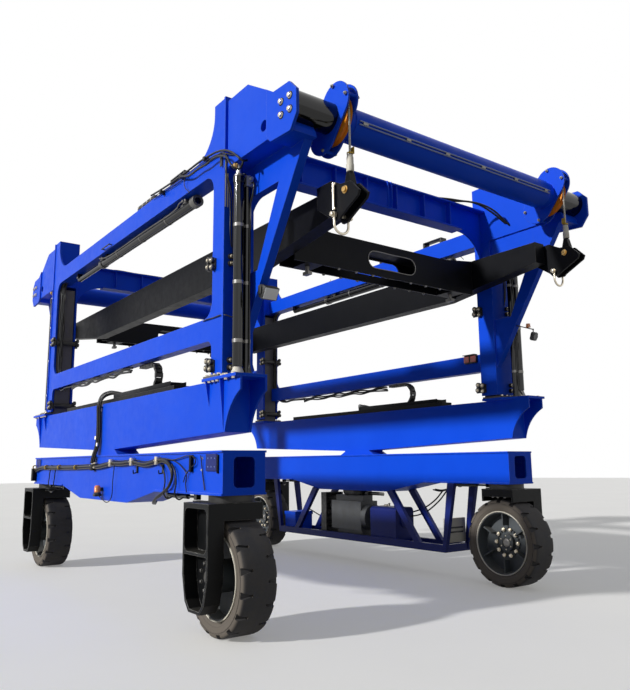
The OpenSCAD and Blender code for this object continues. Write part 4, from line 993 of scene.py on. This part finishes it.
def dress_sides():
    """All that repeats on both sides, and what lies across at both ends."""
    for s, xs in SIDES:
        dress(BEAM_PIECES, "chassis", f"_{s}", xs)
        dress(RAIL_PIECES, "gantry", f"_{s}", xs)
        for name, runs, d, finish, body in SIDE_HOSES:
            hoses(f"{name}_{s}", runs, d, finish, body, xs)
        for i, (dx, dy, d) in enumerate(NECK_HOSES):
            run = [(x + dx, y + dy, z + 0.6 * abs(dy) * (z > 2.4)) for x, y, z in NECK_RUN]
            hoses(f"neck_hose_{i}_{s}", [run], d, WIRE if i == 3 else HOSE, "chassis", xs)
        for i, (dy, dx, d) in enumerate(BUNDLE_HOSES):
            run = bundle_run(i, dx, dy)
            hoses(f"post_bundle_{i}_{s}", [run], d, WIRE if i == 2 else HOSE, "gantry", xs)
    dress(((end_lamp, PLASTIC), (end_lens, RED_LENS)), "gantry", "", 1)
    for e, ys in ENDS:
        rods = []
        for turn in (-6.5, -17.0):
            a = radians(turn)
            at = (TUBE_Y + 0.1735 * cos(a), TUBE_Z + 0.1735 * sin(a))
            rods.append([(x, *at) for x in (-1.47, -0.7, 0, 0.7, 1.47)])
        hoses(f"tube_conduits_{e}", rods, 0.015, CONDUIT, "gantry", 1, ys)
        pairs = [[(x, 2.957, 4.975), (x, 2.966, 4.9), (x, 2.966, 4.72), (x, 2.957, 4.65)]
                 for x in (0.065, 0.125)]
        hoses(f"beam_pipes_{e}", pairs, 0.02, BLUE, "gantry", 1, ys)
        dress(((conduit_clips, DARK_STEEL),), "gantry", f"_{e}", 1, ys)


# Dressing of the spreader and the cross beams
def hang_ropes():
    """Four hoist ropes of six strands round a core, as long as the plain ropes that they replace."""
    low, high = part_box("ropes")
    length = high[2] - low[2]
    steps = 48
    bm = bmesh.new()
    for _, _, xs, ys in CORNERS:
        x, y = xs * (high[0] - ROPE_D / 2), ys * (high[1] - ROPE_D / 2)
        round_bar(bm, (x, y, low[2]), (x, y, high[2]), ROPE_D * 0.72, 12)
        for dx, dy in around(6, ROPE_D / 3):
            strand = bmesh.ops.create_circle(bm, segments=8, radius=ROPE_D / 6,
                                             matrix=Matrix.Translation((x + dx, y + dy, low[2])))["verts"]
            bmesh.ops.spin(bm, geom=strand + edges_at(strand), cent=(x, y, 0), axis=(0, 0, 1),
                           dvec=(0, 0, length / steps), angle=tau * length / ROPE_LAY, steps=steps,
                           use_merge=False)
    bmesh.ops.holes_fill(bm, edges=[e for e in bm.edges if e.is_boundary], sides=8)
    ropes = piece("hoist_ropes", bm, STRAND, None, 60)
    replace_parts(ropes, "ropes")
    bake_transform(ropes)


def across(half, middle):
    """A run over the cross beam: one half, the middle point, and the half turned over."""
    return [*half, middle] + [(-x, y, z) for x, y, z in reversed(half)]


BEAM_TOP_HOSES = (
    across(((1.86, 3.3, 4.7), (1.7, 3.2, 4.86), (1.5, 3.08, 4.98), (1.25, 2.92, 5.0),
            (0.9, 2.86, 4.996)), (0.0, 2.86, 4.996)),
    across(((1.86, 3.36, 4.66), (1.62, 3.22, 4.9), (1.3, 2.96, 5.01), (0.8, 2.83, 4.994)),
           (0.0, 2.82, 4.994)))


def dress_spreader():
    """Ropes, slot rims, the hoses over the cross beams and the end beams' bolts."""
    hang_ropes()
    for e, ys in ENDS:
        # The slot's rim: half circles on both sides, and points above and below the middle
        edge = []
        for i in range(25):
            a = tau * i / 24
            x = 0.275 * (1 if cos(a) > 1e-6 else -1 if cos(a) < -1e-6 else 0)
            edge.append((x + 0.1 * cos(a), SLOT_Y, SLOT_Z + 0.1 * sin(a)))
        hoses(f"slot_edge_{e}", [edge], 0.01, DARK_STEEL, "spreader", 1, ys)
        hoses(f"beam_top_hoses_{e}", BEAM_TOP_HOSES, 0.026, HOSE, "gantry", 1, ys)
    rows = [((x, y, SPREADER_BOTTOM), (0, 0, -1), 0.018) for x in (0.3, 0.55, 0.8) for y in (2.785, 3.068)]
    for e, s, xs, ys in CORNERS:
        bolts(f"end_beam_bolts_{e}_{s}", rows, DARK_STEEL, "spreader", xs, ys)


# Dressing of the power pack
def fan(bm):
    """Fan of eight pitched blades behind the radiator, on its hub."""
    hub = facing((2.045, 0.69, 0.76), (0, 1, 0))
    round_bar(bm, (2.045, 0.66, 0.76), (2.045, 0.71, 0.76), 0.11, 32)
    for i in range(8):
        place = hub @ Matrix.Rotation(tau * i / 8, 4, "Z") @ Matrix.Translation((0.105, 0, 0))
        block(bm, place @ Matrix.Rotation(radians(32), 4, "X"), (0.13, 0.075, 0.004), 0)


def silencer(bm):
    """Silencer lying over the engine, with its straps."""
    place = facing((2.17, 0.2, 1.075), (0, 1, 0))
    lathe(bm, [(0.0, -0.25), (0.055, -0.25), (0.075, -0.235), (0.078, -0.22), (0.078, 0.22), (0.075, 0.235),
               (0.055, 0.25), (0.0, 0.25)], place, 40)
    for y in (-0.16, 0.14):
        ring(bm, 0.0782, 0.081, y, y + 0.03, place, 40)


def air_cleaner(bm):
    """Round air cleaner with its lid clips."""
    lathe(bm, [(0.0, -0.15), (0.07, -0.15), (0.078, -0.14), (0.078, 0.09), (0.084, 0.095), (0.084, 0.115),
               (0.078, 0.12), (0.06, 0.145), (0.0, 0.15)], facing((1.93, 0.12, 1.125), (0, 1, 0)), 40)


def pack_fittings(bm):
    """Injector caps, filters and filler cap of the power pack."""
    for i in range(4):
        round_bar(bm, (2.235, -0.12 + 0.17 * i, 0.8), (2.262, -0.12 + 0.17 * i, 0.8), 0.036, 6)
    for y in (-0.02, 0.12):
        round_bar(bm, (2.27, y, 0.56), (2.27, y, 0.7), 0.07, 28)
    lathe(bm, [(0.0, 0.928), (0.034, 0.928), (0.04, 0.922), (0.04, 0.9015), (0.0, 0.9015)],
          Matrix.Translation((2.045, -0.6, 0)))


def switch_box(bm):
    """Pale switch box at the front end of the power pack's frame."""
    box(bm, (1.84, -2.03, 0.47), (2.24, -1.985, 0.8), 0.006)


def switch_box_bars(bm):
    for z in (0.6, 0.66):
        box(bm, (1.9, -2.036, z), (2.18, -2.0305, z + 0.022), 0.002)


COOLANT_HOSES = (
    ((2.12, 0.6, 1.02), (2.13, 0.66, 1.06), (2.12, 0.71, 1.04), (2.11, 0.74, 1.03)),
    ((1.95, 0.6, 0.6), (1.94, 0.66, 0.54), (1.94, 0.72, 0.52)))
PACK_HOSES = (
    ((2.05, -0.55, 0.86), (2.2, -0.5, 0.93), (2.26, -0.4, 0.86), (2.27, -0.24, 0.7), (2.26, -0.1, 0.62)),
    ((2.27, -0.5, 0.6), (2.31, -0.3, 0.56), (2.3, 0.2, 0.52), (2.3, 0.8, 0.54), (2.28, 1.3, 0.6),
     (2.2, 1.66, 0.74)),
    ((2.2, -0.9, 0.8), (2.28, -1.1, 0.86), (2.28, -1.4, 1.0), (2.27, -1.6, 1.16)),
    ((2.15, -0.95, 0.75), (2.26, -1.15, 0.8), (2.3, -1.45, 0.98), (2.3, -1.65, 1.16)))
EXHAUST_PIPES = (
    ((2.17, 0.44, 1.075), (2.17, 0.5, 1.075), (2.17, 0.55, 1.04), (2.16, 0.56, 0.98)),
    ((2.17, -0.04, 1.075), (2.19, -0.12, 1.075), (2.26, -0.17, 1.07), (2.36, -0.18, 1.06)))


def dress_power_pack():
    dress(((fan, PLASTIC), (silencer, DARK_STEEL), (air_cleaner, PLASTIC), (pack_fittings, BRIGHT),
           (switch_box, CREAM), (switch_box_bars, PLASTIC)), "chassis", "", 1)
    hoses("coolant_hoses", COOLANT_HOSES, 0.046, HOSE, "chassis")
    hoses("pack_hoses", PACK_HOSES, 0.022, HOSE, "chassis")
    hoses("exhaust_pipes", EXHAUST_PIPES, 0.06, DARK_STEEL, "chassis")


# Camera, light and floor
def aim_camera():
    """From the left front corner, low down, as in the photo."""
    data = bpy.data.cameras.new("camera")
    data.sensor_width = 36.0
    data.lens = 35.98
    data.clip_end = 300.0
    camera = put("camera", data)
    yaw, pitch, roll = (radians(v) for v in (36.42, 9.7, -0.54))
    ahead = Vector((sin(yaw) * cos(pitch), cos(yaw) * cos(pitch), sin(pitch)))
    right = Vector((cos(yaw), -sin(yaw), 0))
    up = right.cross(ahead)
    side = right * cos(roll) + up * sin(roll)
    top = up * cos(roll) - right * sin(roll)
    turn = Matrix((side, top, -ahead)).transposed().to_4x4()
    camera.matrix_world = Matrix.Translation((-5.412, -8.858, 1.577)) @ turn
    bpy.context.scene.camera = camera


def seen_rays(add):
    """1 for rays from the camera and those through reflections and glass, 0 for light on the object."""
    value = add("ShaderNodeLightPath", out="Is Camera Ray")
    for kind in ("Is Glossy Ray", "Is Transmission Ray"):
        ray = add("ShaderNodeLightPath", out=kind)
        value = add("ShaderNodeMath", {0: value, 1: ray}, operation="MAXIMUM")
    return value


def light_studio():
    """One broad key from the left and above, a weak fill from the front, and an even sky."""
    for name, energy, angle, away in (("key", 3.2, 3, (0.9, -0.13, -0.4)),
                                      ("fill", 0.12, 50, (0.15, 0.85, -0.5))):
        data = bpy.data.lights.new(name, "SUN")
        data.energy = energy
        data.angle = radians(angle)
        put(name, data).rotation_euler = Vector(away).to_track_quat("-Z", "Y").to_euler()
    world = bpy.data.worlds.new("studio")
    world.use_nodes = True
    bpy.context.scene.world = world
    add = partial(add_node, world.node_tree)
    sky = add("ShaderNodeBackground", {"Color": linear("#DDE6F5"), "Strength": 0.22})
    white = add("ShaderNodeBackground", {"Color": (1, 1, 1, 1), "Strength": 1.0})
    both = add("ShaderNodeMixShader", {0: seen_rays(add), 1: sky, 2: white})
    feed(world.node_tree.nodes["World Output"], {"Surface": both})
    bpy.context.scene.view_settings.view_transform = "Standard"


def lay_floor():
    """A plain pale floor."""
    bm = bmesh.new()
    bmesh.ops.create_circle(bm, cap_ends=True, segments=96, radius=60.0,
                            matrix=Matrix.Translation((0, 0, -0.002)))
    mesh = bpy.data.meshes.new("floor")
    bm.to_mesh(mesh)
    bm.free()
    # To the camera and in reflections it looks paler than it is lit
    material, add, shader, place = start_finish("pale_floor", Roughness=0.85,
                                                 Emission_Color=linear("#FFFDF8"))
    lift = add("ShaderNodeMath", {0: seen_rays(add), 1: 0.2}, operation="MULTIPLY")
    cloud = add("ShaderNodeTexNoise", {"Vector": place, "Scale": 0.6, "Detail": 5.0})
    pale = mix_colour(add, cloud, linear("#DEDCD8"), linear("#E6E4E0"))
    # Light that it throws back on the machine is that of concrete
    thrown = add("ShaderNodeLightPath", out="Is Diffuse Ray")
    feed(shader, {"Base Color": mix_colour(add, thrown, pale, linear("#7E7B76")),
                  "Emission Strength": lift})
    mesh.materials.append(material)
    put("floor", mesh)


aim_camera()
light_studio()
lay_floor()
finish_nodes()
dress_wheels()
dress_corners()
dress_sides()
dress_spreader()
dress_power_pack()
